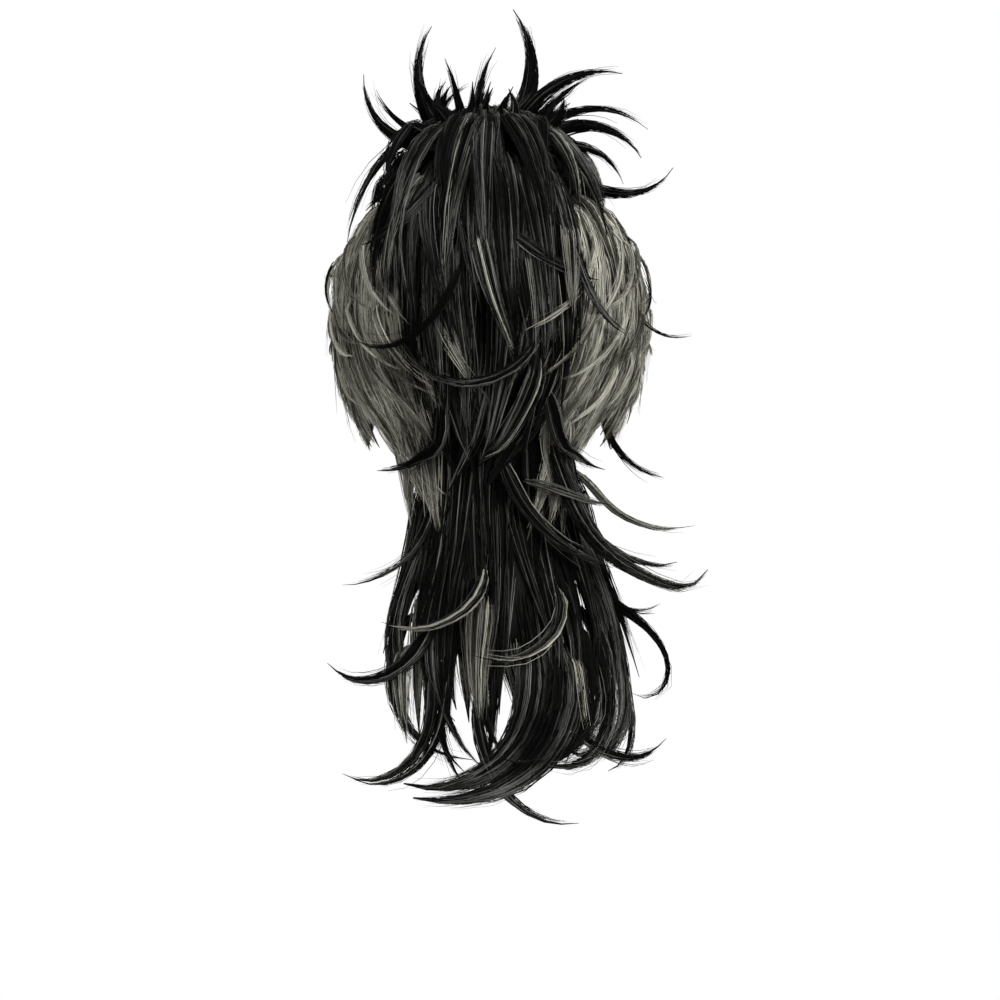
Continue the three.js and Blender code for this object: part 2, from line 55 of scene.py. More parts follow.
class WigSizes(bpy.types.PropertyGroup):
    head_breadth: FloatProperty(name="Head breadth", description="Breadth of the head that the cap fits",
                                default=0.156, unit="LENGTH")
    head_length: FloatProperty(name="Head length", description="Length of the head, front to back",
                               default=0.194, unit="LENGTH")
    head_height: FloatProperty(name="Head height", description="From the crown down to the nape's edge",
                               default=0.170, unit="LENGTH")
    tail_length: FloatProperty(name="Tail length", description="From the nape's edge to the longest tip",
                               default=0.237, unit="LENGTH")
    hair_depth: FloatProperty(name="Hair depth", description="How far the outer hair stands off the head",
                              default=0.028, unit="LENGTH")
    lock_width: FloatProperty(name="Lock width", description="Width of a lock that a table calls 1 wide",
                              default=0.020, unit="LENGTH")
    lock_depth: FloatProperty(name="Lock depth", description="Thickness of a full lock",
                              default=0.008, unit="LENGTH")
    spike_length: FloatProperty(name="Spike length", description="Length of a crown spike of length 1",
                                default=0.075, unit="LENGTH")
    cap_wall: FloatProperty(name="Cap wall", description="Thickness of the cap's net",
                            default=0.0016, unit="LENGTH")


class WigStrands(bpy.types.PropertyGroup):
    thickness: FloatProperty(name="Strand radius", description="Radius of a strand near its root",
                             default=0.00028, unit="LENGTH")
    wave: FloatProperty(name="Wave", description="How far a strand strays sideways from its lock",
                        default=0.0045, unit="LENGTH")
    fray: FloatProperty(name="Fray", description="How far the loosest tips stand out of a lock",
                        default=0.010, unit="LENGTH")
    uneven: FloatProperty(name="Uneven tips", description="How much shorter some strands are than others",
                          default=0.3, min=0, max=0.9, subtype="FACTOR")
    points: IntProperty(name="Strand points", description="Points along each strand",
                        default=8, min=4, max=20)


class WigColours(bpy.types.PropertyGroup):
    black_deep: FloatVectorProperty(name="Black", description="Darkest black strands",
                                    default=(0.0009, 0.0011, 0.0008), size=3, subtype="COLOR")
    # Painted sheen: the lightest black, put into the strands' colour where a highlight would show
    black_painted_sheen: FloatVectorProperty(name="Black sheen", description="Lightest of the black strands",
                                     default=(0.235, 0.24, 0.22), size=3, subtype="COLOR")
    # The darkest grey: dark grey strands, and the painted shade of the gaps between grey wisps and of grey
    # cores and backings
    grey_dark_and_painted_shade: FloatVectorProperty(name="Grey shade", description="Darkest silver-grey strands",
                                   default=(0.058, 0.055, 0.041), size=3, subtype="COLOR")
    grey_light: FloatVectorProperty(name="Grey light", description="Lightest silver-grey strands",
                                    default=(0.88, 0.86, 0.74), size=3, subtype="COLOR")
    net: FloatVectorProperty(name="Net", description="Colour of the cap's net",
                             default=(0.012, 0.011, 0.010), size=3, subtype="COLOR")


# Tables


def table(columns, rows):
    return [dict(zip(columns.split(), row)) for row in rows]


# The form that the hair lies on: the head down to the nape, then the way the tail falls. `down` counts
# shares of the head's height to 1, then shares of the tail's length. The others are shares of half the
# head's breadth and length.
FORM = table("down wide back front", [
    (0, 0, 0, 0),
    (0.02, 0.32, 0.34, 0.34),
    (0.09, 0.62, 0.65, 0.65),
    (0.21, 0.83, 0.86, 0.85),
    (0.37, 0.96, 0.97, 0.97),
    (0.53, 1, 1, 1),
    (0.69, 0.98, 0.96, 0.98),
    (0.85, 0.89, 0.84, 0.9),
    (1, 0.78, 0.69, 0.8),
    (1.12, 0.75, 0.64, 0.74),
    (1.3, 0.8, 0.7, 0.76),
    (1.5, 0.95, 0.84, 0.86),
    (1.75, 1.1, 0.96, 1),
    (2, 1.2, 1.05, 1.1),
])

# The cap's rim, from the nape (0 degrees) past the ear (90) to the forehead (180)
CAP_RIM = table("at down", [
    (0, 0.97), (30, 0.94), (60, 0.77), (90, 0.62), (110, 0.66), (135, 0.55), (160, 0.4), (180, 0.35),
])

# Bands of like locks. `first` and `last` are the angles of the end locks, and lean and bend run from one to
# the other. Columns mean what they mean for a single lock, below.
BAND = ("from first last count length lean_first lean_last bend_first bend_last late"
        " lift rise flick wide strands ash")
SIDE_BANDS = table(BAND, [
    (0.13, 26, 124, 11, 0.60, 4, -10, -16, -30, 1.2, 0.50, 0.30, 0.03, 1.1, 47, 0.98),
    (0.26, 28, 128, 11, 0.58, -4, -18, -18, -36, 1.2, 0.52, 0.26, 0.03, 1.1, 47, 0.98),
    (0.40, 30, 128, 11, 0.52, -6, -26, -16, -36, 1.2, 0.52, 0.24, 0.03, 1.1, 47, 0.98),
    (0.54, 32, 122, 10, 0.46, -8, -32, -10, -34, 1.2, 0.50, 0.22, 0.03, 1.0, 47, 0.98),
    (0.67, 34, 112, 9, 0.38, -6, -40, -4, -34, 1.2, 0.46, 0.18, 0.03, 1.0, 50, 0.97),
    (0.80, 32, 62, 5, 0.50, -2, -24, 0, -20, 1.3, 0.42, 0.16, 0, 0.9, 50, 0.94),
    (0.72, 92, 122, 5, 0.34, -10, -20, -26, -40, 1.3, 0.44, 0.14, 0.03, 0.8, 46, 0.95),
    (0.86, 30, 46, 4, 0.48, -2, -8, 0, -10, 1.2, 0.48, 0.12, 0, 0.9, 44, 0.92),
])
SIDE_SWEEPS = table(BAND, [
    (0.28, 44, 112, 6, 0.42, -18, -36, -44, -66, 1.4, 0.84, 0.06, 0.05, 0.24, 16, 1.0),
    (0.48, 44, 112, 7, 0.40, -22, -42, -44, -60, 1.4, 0.82, 0.06, 0.05, 0.24, 16, 1.0),
    (0.64, 44, 106, 6, 0.36, -22, -42, -24, -50, 1.4, 0.74, 0.06, 0.05, 0.24, 16, 1.0),
])
FRINGE_BANDS = table(BAND, [
    (0.11, 132, 228, 10, 0.42, 16, 6, -20, -16, 1.2, 0.62, 0.1, 0.1, 1.2, 60, 0.04),
    (0.22, 130, 230, 10, 0.42, 14, 6, -24, -16, 1.2, 0.54, 0.12, 0.1, 1.2, 60, 0.04),
])
CROWN_BANDS = table(BAND, [
    (0.008, -72, 72, 9, 0.26, 24, -24, 14, -14, 1.2, 1.62, -0.72, 0.04, 1.0, 40, 0.02),
    (0.012, 80, 280, 12, 0.24, -20, 20, -14, 14, 1.2, 1.30, -0.52, 0.04, 1.1, 34, 0.03),
    (0.045, -165, 165, 26, 0.17, 14, -14, 10, -10, 1.2, 1.06, -0.46, 0, 1.0, 22, 0.03),
    (0.095, -168, 168, 30, 0.115, 10, -10, 10, -10, 1.2, 0.90, -0.50, 0, 1.0, 20, 0.03),
])
UPPER_BANDS = table(BAND, [
    (0.014, -34, 26, 9, 0.54, -8, 10, 8, -4, 1.2, 1.60, -0.74, 0, 1.0, 60, 0.10),
    (0.09, -31, 24, 8, 0.54, -4, 8, 10, -4, 1.2, 1.02, -0.16, 0, 1.0, 60, 0.16),
    (0.24, -28, 23, 8, 0.56, -4, 6, 8, -2, 1.2, 0.78, 0.04, 0, 1.0, 60, 0.26),
])
BACK_BANDS = table(BAND, [
    (0.42, -26, 24, 8, 0.60, 3, -5, 8, -10, 1.2, 0.64, 0.1, 0, 1.0, 60, 0.22),
    (0.60, -24, 30, 9, 0.56, 8, -14, 4, -8, 1.2, 0.60, 0.08, 0, 1.0, 56, 0.2),
])
TAIL_BANDS = table(BAND, [
    (0.90, -24, 34, 8, 0.56, -4, 6, 2, 0, 1.4, 0.44, 0.10, 0, 1.0, 56, 0.05),
    (0.98, -26, 40, 8, 0.56, -4, 6, 4, -4, 1.4, -0.02, -0.04, 0, 1.0, 30, 0.05),
    (1.06, -28, 42, 8, 0.54, -10, 12, 10, -14, 1.6, 0.42, 0.16, 0, 1.0, 56, 0.05),
    (1.20, -30, 50, 9, 0.50, -10, 14, 40, -46, 2.0, 0.40, 0.20, 0, 0.9, 52, 0.08),
    (1.32, -34, 58, 9, 0.46, -8, 12, 66, -84, 2.2, 0.40, 0.20, 0, 0.8, 50, 0.12),
    (1.46, -36, 60, 8, 0.40, -4, 8, 78, -96, 2.0, 0.36, 0.20, 0, 0.6, 40, 0.2),
    (1.40, -34, 42, 7, 0.36, 4, -4, 10, -10, 1.5, 0.26, 0.04, 0, 1.0, 40, 0.8),
])

# Single locks. Each starts at angle `at` and height `from`, heads `lean` degrees off the way straight down,
# towards the wearer's right, and turns by `bend` degrees along its length, the later the higher `late` is.
# `lift`, `rise` and `flick` say how far off the form it runs, in hair depths, at its root, steadily along
# it, and at its tip. The last column is the share of its strands that are grey: grey hair in the grey locks,
# and painted sheen where a black lock has only a few grey strands.
LOCK = "at from length lean bend late lift rise flick wide strands ash"
UPPER_LOCKS = table(LOCK, [
    (-33, 0.07, 0.50, -24, 30, 0.6, 1.10, -0.2, 0, 1.0, 90, 0.03),
    (-33, 0.18, 0.40, -14, 20, 0.6, 0.90, 0, 0, 0.9, 70, 0.03),
    (-14, 0.12, 0.40, -20, -66, 1.4, 1.04, -0.06, 0, 0.8, 80, 0.12),
    (0, 0.08, 0.70, 2, 6, 1, 1.04, -0.2, 0, 1.2, 90, 0.12),
    (18, 0.08, 0.70, 0, 6, 1, 1.04, -0.2, 0, 1.2, 90, 0.08),
    (-20, 0.10, 0.60, 2, 8, 1, 1.02, -0.18, 0, 1.2, 90, 0.12),
    (28, 0.09, 0.66, -2, 84, 2.6, 1.10, -0.16, 0.05, 0.6, 70, 0.01),
    (8, 0.30, 0.30, 32, 56, 1, 0.98, 0, 0, 0.5, 50, 0.03),
    (-8, 0.36, 0.54, -10, -122, 1.5, 0.94, 0, 0.1, 0.32, 40, 0.03),
    (18, 0.60, 0.50, -30, -140, 1.3, 0.92, 0, 0.05, 0.34, 40, 0.25),
    (29, 0.25, 0.34, -6, 8, 1, 1.00, 0, 0, 0.9, 64, 0.7),
])
MID_LOCKS = table(LOCK, [
    (-18, 0.78, 0.46, 0, -96, 1.7, 0.78, 0, 0.2, 0.6, 70, 0.04),
    (22, 0.76, 0.44, 14, 60, 2, 0.78, 0, 0.2, 0.6, 70, 0.04),
    (36, 0.90, 0.80, 4, 102, 3.2, 0.68, 0, 1.3, 0.6, 70, 0.10),
    (28, 0.93, 0.98, 12, 118, 3.2, 0.76, 0, 1.9, 0.9, 100, 0.03),
])
TAIL_LOCKS = table(LOCK, [
    (-23, 1.475, 0.36, -2, -128, 1.1, 0.66, 0, 0.5, 0.6, 70, 0.02),
    (-34, 1.34, 0.62, -14, 104, 1.8, 0.46, 0, 0.2, 0.6, 60, 0.04),
    (-36, 1.38, 0.54, -10, 90, 1.8, 0.50, 0, 0.2, 0.4, 40, 0.04),
    (-22, 1.58, 0.44, 8, -132, 2.2, 0.62, 0, 0.5, 0.5, 60, 0.02),
    (-16, 1.60, 0.42, 2, -118, 2.2, 0.60, 0, 0.4, 0.5, 50, 0.02),
    (-22, 1.46, 0.44, 2, 44, 1.6, 0.56, 0, 0.2, 0.4, 40, 0.02),
    (-14, 1.52, 0.42, -10, 50, 1.6, 0.56, 0, 0.2, 0.4, 40, 0.02),
    (28, 1.52, 0.62, 2, -106, 1.5, 0.62, 0, 0.4, 1.7, 150, 0.03),
    (17, 1.50, 0.58, 2, -112, 1.8, 0.56, 0, 0.3, 1.6, 130, 0.03),
    (-5, 1.67, 0.44, 6, 84, 2.0, 0.60, 0, 0.3, 0.5, 40, 0.02),
    (56, 1.30, 0.72, 12, -150, 2.6, 0.44, 0, 0.1, 1.3, 120, 0.03),
    (46, 1.44, 0.58, 8, -140, 2.4, 0.54, 0, 0.2, 1.0, 90, 0.03),
    (38, 1.46, 0.54, 6, -128, 2.2, 0.54, 0, 0.3, 0.9, 80, 0.03),
    (27, 1.70, 0.36, 24, 106, 1.2, 0.58, 0, 0.5, 0.5, 50, 0.02),
])
# Single grey locks on the upper black hair, standing as painted sheen
SHEEN_STREAKS = table(LOCK, [
    (-30, 0.05, 0.34, -8, 6, 1, 1.40, -0.4, 0, 0.7, 56, 0.45),
    (-27, 0.14, 0.40, -20, 28, 1, 1.14, -0.2, 0, 0.8, 60, 0.45),
    (-5, 0.03, 0.60, -5, 0, 1, 1.56, -0.66, 0, 0.8, 64, 0.5),
    (38, 0.05, 0.32, 0, -8, 1, 1.40, -0.4, 0, 0.7, 56, 0.5),
    (-4, 0.29, 0.42, 8, 12, 1, 1.00, 0, 0, 0.7, 56, 0.42),
    (18, 0.66, 0.46, -8, -25, 1, 0.84, 0, 0, 0.8, 60, 0.42),
])
TAIL_STREAKS = table(LOCK, [
    (-2, 1.40, 0.38, -6, 10, 1, 0.60, 0, 0, 1.3, 90, 0.85),
    (33, 1.56, 0.24, 0, 10, 1, 0.60, 0, 0, 0.9, 60, 0.85),
    (-34, 1.54, 0.26, 0, 16, 1, 0.60, 0, 0, 0.8, 60, 0.85),
])
TAIL_GREYS = table(LOCK, [
    (-26, 1.08, 0.44, 0, -86, 1.6, 0.52, 0, 0.6, 0.5, 36, 0.35),
    (16, 1.10, 0.22, 55, 30, 1, 0.90, 0, 0.1, 0.4, 30, 0.4),
    (44, 1.06, 0.38, 30, 60, 1.3, 0.76, 0, 2.0, 0.4, 30, 0.8),
    (6, 1.02, 0.42, 8, 52, 1.3, 0.74, 0, 0.5, 0.6, 40, 0.4),
    (-2, 1.35, 0.30, 4, -118, 1.1, 0.80, 0, 0.4, 0.5, 40, 0.55),
    (30, 1.39, 0.34, 6, -120, 1.2, 0.66, 0, 0.3, 0.5, 40, 0.5),
])

# Crown spikes. Each root stands `across` half breadths to the right, `behind` half lengths back and
# `up` spike lengths high. It leaves `lean` degrees off straight up, turns by `turn` degrees, and its
# plane tilts `tilt` degrees back.
SPIKE = "across behind up length lean turn late tilt wide strands"
SPIKES = table(SPIKE, [
    (-0.34, 0.1, 0.24, 1.08, -100, 104, 1, 0, 0.7, 64),
    (-0.26, -0.1, 0.28, 0.9, -84, 60, 1, -12, 0.4, 40),
    (-0.33, 0.05, 0.28, 1.08, -42, 76, 1.2, 0, 0.8, 90),
    (-0.14, 0.25, 0.28, 0.85, -60, 46, 1, 14, 0.45, 40),
    (-0.34, -0.15, 0.28, 0.66, -30, 96, 1, -12, 0.3, 30),
    (-0.2, 0.15, 0.3, 0.7, -4, -20, 1, 8, 0.5, 40),
    (-0.07, 0.05, 0.32, 0.8, -12, 44, 1, 0, 0.55, 48),
    (0.04, 0.25, 0.28, 0.56, 28, 24, 1, 12, 0.35, 32),
    (0.13, 0, 0.3, 1.2, 33, -70, 1.3, 0, 1, 106),
    (0.17, 0.1, 0.3, 1.2, 24, 80, 1.2, 0, 0.8, 82),
    (0.26, 0, 0.28, 0.8, 32, 30, 1.2, 0, 0.6, 48),
    (0.3, -0.1, 0.27, 1.2, 33, 100, 1, -8, 0.5, 44),
    (0.37, 0.1, 0.24, 1.05, 44, 106, 1, 4, 0.8, 82),
    (0.42, 0.28, 0.14, 0.85, 56, 108, 1, 10, 0.5, 40),
    (0.5, 0.2, 0.02, 1.14, 116, -88, 2, 10, 0.7, 72),
    (0.68, 0.04, -0.06, 0.8, 127, 28, 1, 0, 0.45, 40),
    (-0.48, 0.15, 0.06, 0.66, -112, -24, 1, 4, 0.9, 72),
    (0, -0.28, 0.22, 0.85, -14, 30, 1, -35, 0.9, 64),
    (0.22, -0.3, 0.2, 0.85, 24, 20, 1, -42, 0.8, 64),
    (-0.22, -0.3, 0.2, 0.85, -24, -20, 1, -42, 0.8, 64),
    (0.05, -0.5, 0.1, 0.75, 8, 20, 1, -62, 1, 64),
    (-0.2, -0.55, 0.06, 0.75, -18, -20, 1, -70, 0.9, 64),
    (0.3, -0.52, 0.04, 0.75, 24, 30, 1, -66, 0.9, 64),
])

# Thin strays that curl out of the sides and of the tail, drawn as the spikes are
SIDE_STRAYS = {
    "side_left": table(SPIKE, [
        (-1.24, 0.3, -0.74, 0.60, -142, -96, 1, 0, 0.12, 10),
    ]),
    "side_right": table(SPIKE, [
        (1.26, 0.3, -0.88, 0.46, 152, 76, 1, 0, 0.12, 10),
        (1.22, 0.3, -1.22, 0.56, 142, -72, 1, 0, 0.16, 12),
        (0.92, 0.4, -2.08, 0.74, 166, -66, 1, 0, 0.3, 30),
    ]),
}
TAIL_STRAYS = table(SPIKE, [
    (0.83, 0.4, -3.5, 1.43, 122, 200, 3, 0, 0.45, 44),
    (0.93, 0.4, -3.54, 0.62, 126, -100, 1.6, 0, 0.15, 14),
])

# Backings: a wall of hair between two angles and two heights, under the locks. Its hem runs from `left_hem`
# to `right_hem`. `under` and `depth` say in hair depths where it starts and how thick it is. Below the cap's
# rim it stands off by a further `hang` of the way down.
BACKING = "left right top left_hem right_hem under hang depth"
BACKINGS = dict(zip(
    ("side_left", "side_right", "fringe", "back_panel", "tail", "mid_back_locks", "upper_back_locks"),
    table(BACKING, [
        (-112, -30, 0.12, 0.62, 0.98, 0.02, 0.18, 0.5),
        (30, 112, 0.12, 0.98, 0.62, 0.02, 0.18, 0.5),
        (118, 242, 0.10, 0.52, 0.52, 0.02, 0.08, 0.45),
        (-31, 31, 0.12, 0.99, 0.99, 0.02, 0, 0.42),
        (-31, 46, 0.90, 1.60, 1.60, 0.04, 0.02, 0.40),
        (-29, 29, 0.44, 0.80, 0.80, 0.44, 0, 0.08),
        (-29, 29, 0.20, 0.56, 0.56, 0.44, 0, 0.08),
    ]),
))

# Short tufts between the spikes
TUFTS = 24
TUFT_STRANDS = 22
TUFT_LEAN = 130

# How much the locks of a band differ: degrees, shares of their height or size, hair depths
ANGLE_SPREAD = 3
START_SPREAD = 0.03
LEAN_SPREAD = 5
BEND_SPREAD = 12
LIFT_SPREAD = 0.04
TONE_SPREAD = 0.2
LEAST_SIZE = 0.85
MOST_SIZE = 1.15

# Guides: how finely they are drawn, how far their roots are sunk, and how locks and spikes taper
GUIDE_POINTS = 13
WALK_STEPS = 48
END_GAP = 0.03
ROOT_SINK = 0.3
SINK_SHARE = 0.2
TIP_SHARE = 0.04
ROOT_REACH = 0.25
LOCK_ROOT = 0.3
LOCK_SHARPNESS = 1.6
SPIKE_ROOT = 0.95
SPIKE_SHARPNESS = 0.8
SPIKE_DEPTH = 0.8
SPIKE_TONE = -0.25
DEPTH_TAPER = 0.7
WISP_WIDTH = 0.0019

# Cores and backings: the lens under a lock's strands, and the wall under the locks, toned dark as painted
# shade between the strands
CORE_SIDES = 8
# Painted shade: the tone of cores, backings and the crown's pad
CORE_PAINTED_SHADE = -0.25
CORE_DROP = 0.35
CORE_DEPTH = 0.6
CORE_STRANDS = 20
LOCK_FILL = 0.75
STREAK_FILL = 0.5
GREY_ASH = 0.85
BACKING_ROWS = 26
COLUMN_DEGREES = 3
RAGGED_HEM = 0.06
HEM_BEAT = 1.3
EDGE_THICKNESS = 0.15
EDGE_ROUNDING = 0.3
PLAIN_SHARE = 0.4

# The net cap's mesh, and the pad that the crown's spikes stand on, in shares of the hair's depth and the cap
CAP_COLUMNS = 96
CAP_ROWS = 40
PAD_COLUMNS = 48
PAD_ROWS = 10
PAD_REACH = 0.36
PAD_DEPTH = 0.86
PAD_PEAK = 0.35

# The stage. Each light has a place, a size and a power.
FLOOR_RADIUS = 0.6
FLOOR_HEIGHT = -0.62
FLOOR_CORNERS = 96
WORLD_LIGHT = 0.22
LIGHTS = {
    "key_light": ((1.5, -1.6, 0.8), 0.8, 42.0),
    "fill_light": ((-1.5, -1.5, 0.5), 1.0, 17.0),
    "top_light": ((0.1, -0.3, 1.6), 1.0, 14.0),
    "front_light": ((0.3, 1.8, 0.8), 1.0, 14.0),
}
LIT_POINT = (0, 0, -0.15)
CAMERA_PLACE = (0.0068, -2.26, -0.206)
CAMERA_LENS = 127.7
CAMERA_SENSOR = 36


class HeadForm:
    """The form that the hair lies on, smoothed between its rows, with outward directions."""

    STATIONS = 1301
    STEP = 0.01

    def __init__(self, sizes):
        self.sizes = sizes
        self.last = len(FORM) - 1
        stations = np.linspace(0, self.last, self.STATIONS)
        self.stations = stations
        down = self._smooth("down", stations, 1)
        self.wide = self._smooth("wide", stations, -1) * sizes.head_breadth / 2
        self.back = self._smooth("back", stations, -1) * sizes.head_length / 2
        self.front = self._smooth("front", stations, -1) * sizes.head_length / 2
        self.z = -np.minimum(down, 1) * sizes.head_height - np.maximum(down - 1, 0) * sizes.tail_length
        self.rows_down = [row["down"] for row in FORM]

    def _smooth(self, column, stations, mirror):
        """Runs a smooth curve through a column of FORM, which is carried on past the crown by `mirror`."""
        rows = [row[column] for row in FORM]
        values = np.array([mirror * rows[1]] + rows + [2 * rows[-1] - rows[-2]])
        index = np.minimum(stations.astype(int), self.last - 1)
        share = stations - index
        before, start, end, after = (values[index + k] for k in range(4))
        slope_start = (end - before) / 2
        slope_end = (after - start) / 2
        square, cube = share ** 2, share ** 3
        return ((2 * cube - 3 * square + 1) * start + (cube - 2 * square + share) * slope_start
                + (3 * square - 2 * cube) * end + (cube - square) * slope_end)

    def station(self, down):
        """Where a height lies along the form, counted in rows of FORM."""
        return np.interp(down, self.rows_down, np.arange(self.last + 1))

    def point(self, station, angle):
        wide = np.interp(station, self.stations, self.wide)
        back = np.interp(station, self.stations, self.back)
        front = np.interp(station, self.stations, self.front)
        z = np.interp(station, self.stations, self.z)
        depth = np.where(np.cos(angle) > 0, back, front)
        return np.stack([wide * np.sin(angle), -depth * np.cos(angle), z * np.ones_like(wide)], -1)

    def directions(self, station, angle):
        """Ways along, around and straight off the form."""
        step = self.STEP
        place = np.clip(station, 2 * step, self.last - 2 * step)
        along = (self.point(place + step, angle) - self.point(place - step, angle)) / (2 * step)
        around = (self.point(place, angle + step) - self.point(place, angle - step)) / (2 * step)
        out = np.cross(along, around)
        return along, around, out / np.linalg.norm(out, axis=-1, keepdims=True)

    def off(self, station, angle, off):
        out = self.directions(station, angle)[2]
        return self.point(station, angle) + out * np.asarray(off)[..., None]

    def rim(self, angle):
        """The station of the cap's rim at an angle."""
        turn = np.degrees(np.abs(np.arctan2(np.sin(angle), np.cos(angle))))
        at = [row["at"] for row in CAP_RIM]
        down = [row["down"] for row in CAP_RIM]
        index = np.clip(np.searchsorted(at, turn, side="right") - 1, 0, len(at) - 2)
        at, down = np.array(at), np.array(down)
        share = (turn - at[index]) / (at[index + 1] - at[index])
        eased = share * share * (3 - 2 * share)
        return self.station(down[index] + (down[index + 1] - down[index]) * eased)


# Guides: the middle line of each lock, with its cross directions


def unit_vectors(vectors):
    return vectors / np.maximum(np.linalg.norm(vectors, axis=-1, keepdims=True), 1e-9)


def ribbon_taper(share, sharpness, root):
    """Width along a lock: it grows from its root's width, then narrows to its tip."""
    grown = root + (1 - root) * np.sin(np.minimum(share / ROOT_REACH, 1) * math.pi / 2)
    return np.maximum(TIP_SHARE, grown * (1 - share ** sharpness))


def guide_from(points, outward, share, half_width, half_depth, spec, taper):
    """A guide with the half width and half depth of its lock as cross directions."""
    ahead = unit_vectors(np.gradient(points, axis=0))
    side = unit_vectors(np.cross(outward, ahead))
    up = np.cross(ahead, side)
    width = (half_width * taper)[:, None]
    depth = (half_depth * taper ** DEPTH_TAPER)[:, None]
    return {"points": points, "across": side * width, "up": up * depth, "share": share,
            "strands": int(spec["strands"]), "ash": spec.get("ash", 0.0), "tone": spec.get("tone", 0.0),
            "wisps": max(1.0, half_width / WISP_WIDTH)}


def lock_guide(form, spec, unit):
    """Walks a lock down the form, turning as its table row says."""
    sizes = form.sizes
    stride = spec["length"] * unit / WALK_STEPS
    angle = math.radians(spec["at"])
    station = float(form.station(spec["from"]))
    walked = []
    for step in range(WALK_STEPS + 1):
        walked.append((station, angle))
        along, around, _ = form.directions(station, angle)
        heading = math.radians(spec["lean"] + spec["bend"] * (step / WALK_STEPS) ** spec["late"])
        station += stride * math.cos(heading) / np.linalg.norm(along)
        angle += stride * math.sin(heading) / np.linalg.norm(around)
        station = min(station, form.last - END_GAP)
    walked = np.array(walked)
    share = np.linspace(0, 1, GUIDE_POINTS)
    steps = np.linspace(0, 1, WALK_STEPS + 1)
    stations = np.interp(share, steps, walked[:, 0])
    angles = np.interp(share, steps, walked[:, 1])
    sunk = ROOT_SINK * np.maximum(0, 1 - share / SINK_SHARE) ** 2
    off = (spec["lift"] + spec["rise"] * share + spec["flick"] * share ** 3 - sunk) * sizes.hair_depth
    outward = form.directions(stations, angles)[2]
    points = form.point(stations, angles) + outward * off[:, None]
    half_width = spec["wide"] * sizes.lock_width / 2
    half_depth = sizes.lock_depth / 2 * min(1, spec["wide"] + 0.25)
    taper = ribbon_taper(share, LOCK_SHARPNESS, LOCK_ROOT)
    return guide_from(points, outward, share, half_width, half_depth, spec, taper)


def spike_guide(form, spec):
    """Draws a free spike or stray."""
    sizes = form.sizes
    tilt = math.radians(spec["tilt"])
    share = np.linspace(0, 1, WALK_STEPS + 1)
    heading = np.radians(spec["lean"] + spec["turn"] * share ** spec["late"])
    stride = spec["length"] * sizes.spike_length / WALK_STEPS
    upright = np.cos(heading)
    moves = np.stack([np.sin(heading), -upright * math.sin(tilt), upright * math.cos(tilt)], -1)
    root = np.array([spec["across"] * sizes.head_breadth / 2, -spec["behind"] * sizes.head_length / 2,
                     spec["up"] * sizes.spike_length])
    path = root + np.concatenate([np.zeros((1, 3)), np.cumsum(moves[:-1] * stride, axis=0)])
    picked = np.linspace(0, WALK_STEPS, GUIDE_POINTS).round().astype(int)
    outward = np.tile([0, -math.cos(tilt), -math.sin(tilt)], (GUIDE_POINTS, 1))
    half_width = spec["wide"] * sizes.lock_width / 2
    toned = dict(spec, tone=SPIKE_TONE)
    taper = ribbon_taper(share[picked], SPIKE_SHARPNESS, SPIKE_ROOT)
    half_depth = half_width * SPIKE_DEPTH
    return guide_from(path[picked], outward, share[picked], half_width, half_depth, toned, taper)


def crown_tufts(rng):
    """Short messy tufts that stand between the spikes."""
    return [{
        "across": across,
        "behind": rng.uniform(0.1, 0.56),
        "up": rng.uniform(0.26, 0.4),
        "length": rng.uniform(0.26, 0.5),
        "lean": across * TUFT_LEAN + rng.uniform(-25, 25),
        "turn": rng.uniform(-70, 70),
        "late": 1.2,
        "tilt": rng.uniform(-10, 34),
        "wide": rng.uniform(0.5, 0.9),
        "strands": TUFT_STRANDS,
    } for across in np.linspace(-0.42, 0.48, TUFTS)]


def between(band, column, share):
    """The value of a band's column between its first lock and its last one."""
    first = band[column + "first"]
    return first + (band[column + "last"] - first) * share


def band_locks(band, rng, mirror=1):
    """Spreads the locks of a band between its end angles, each a little different."""
    locks = []
    for i in range(band["count"]):
        share = i / (band["count"] - 1)
        lock = dict(band)
        lock["at"] = mirror * (between(band, "", share) + rng.uniform(-ANGLE_SPREAD, ANGLE_SPREAD))
        lock["from"] += rng.uniform(-START_SPREAD, START_SPREAD)
        lock["length"] *= rng.uniform(LEAST_SIZE, MOST_SIZE)
        lock["lean"] = mirror * (between(band, "lean_", share) + rng.uniform(-LEAN_SPREAD, LEAN_SPREAD))
        lock["bend"] = mirror * (between(band, "bend_", share) + rng.uniform(-BEND_SPREAD, BEND_SPREAD))
        lock["lift"] += rng.uniform(-LIFT_SPREAD, LIFT_SPREAD)
        lock["wide"] *= rng.uniform(LEAST_SIZE, MOST_SIZE)
        lock["tone"] = rng.uniform(-TONE_SPREAD, TONE_SPREAD)
        locks.append(lock)
    return locks


def all_locks(bands, rng, mirror=1):
    """The locks of several bands, in their order."""
    return [lock for band in bands for lock in band_locks(band, rng, mirror)]


def lock_guides(form, locks, unit):
    return [lock_guide(form, lock, unit) for lock in locks]


# Meshes. A part is a closed piece of solid hair, with what the hair's material reads at each vertex; its tone
# is a painted shade on cores, backings and the pad.

Part = namedtuple("Part", "vertices faces grain tint grey share")


def mesh_object(name, vertices, faces, smooth=True):
    mesh = bpy.data.meshes.new(name)
    mesh.from_pydata([tuple(v) for v in vertices], [], [tuple(f) for f in faces])
    if smooth:
        mesh.polygons.foreach_set("use_smooth", [True] * len(mesh.polygons))
    mesh.update()
    obj = bpy.data.objects.new(name, mesh)
    bpy.context.collection.objects.link(obj)
    return obj


def store(mesh, name, kind, values):
    attribute = mesh.attributes.new(name, kind, "POINT")
    key = "vector" if kind == "FLOAT_VECTOR" else "value"
    attribute.data.foreach_set(key, np.asarray(values, dtype=float if kind != "INT" else int).ravel())


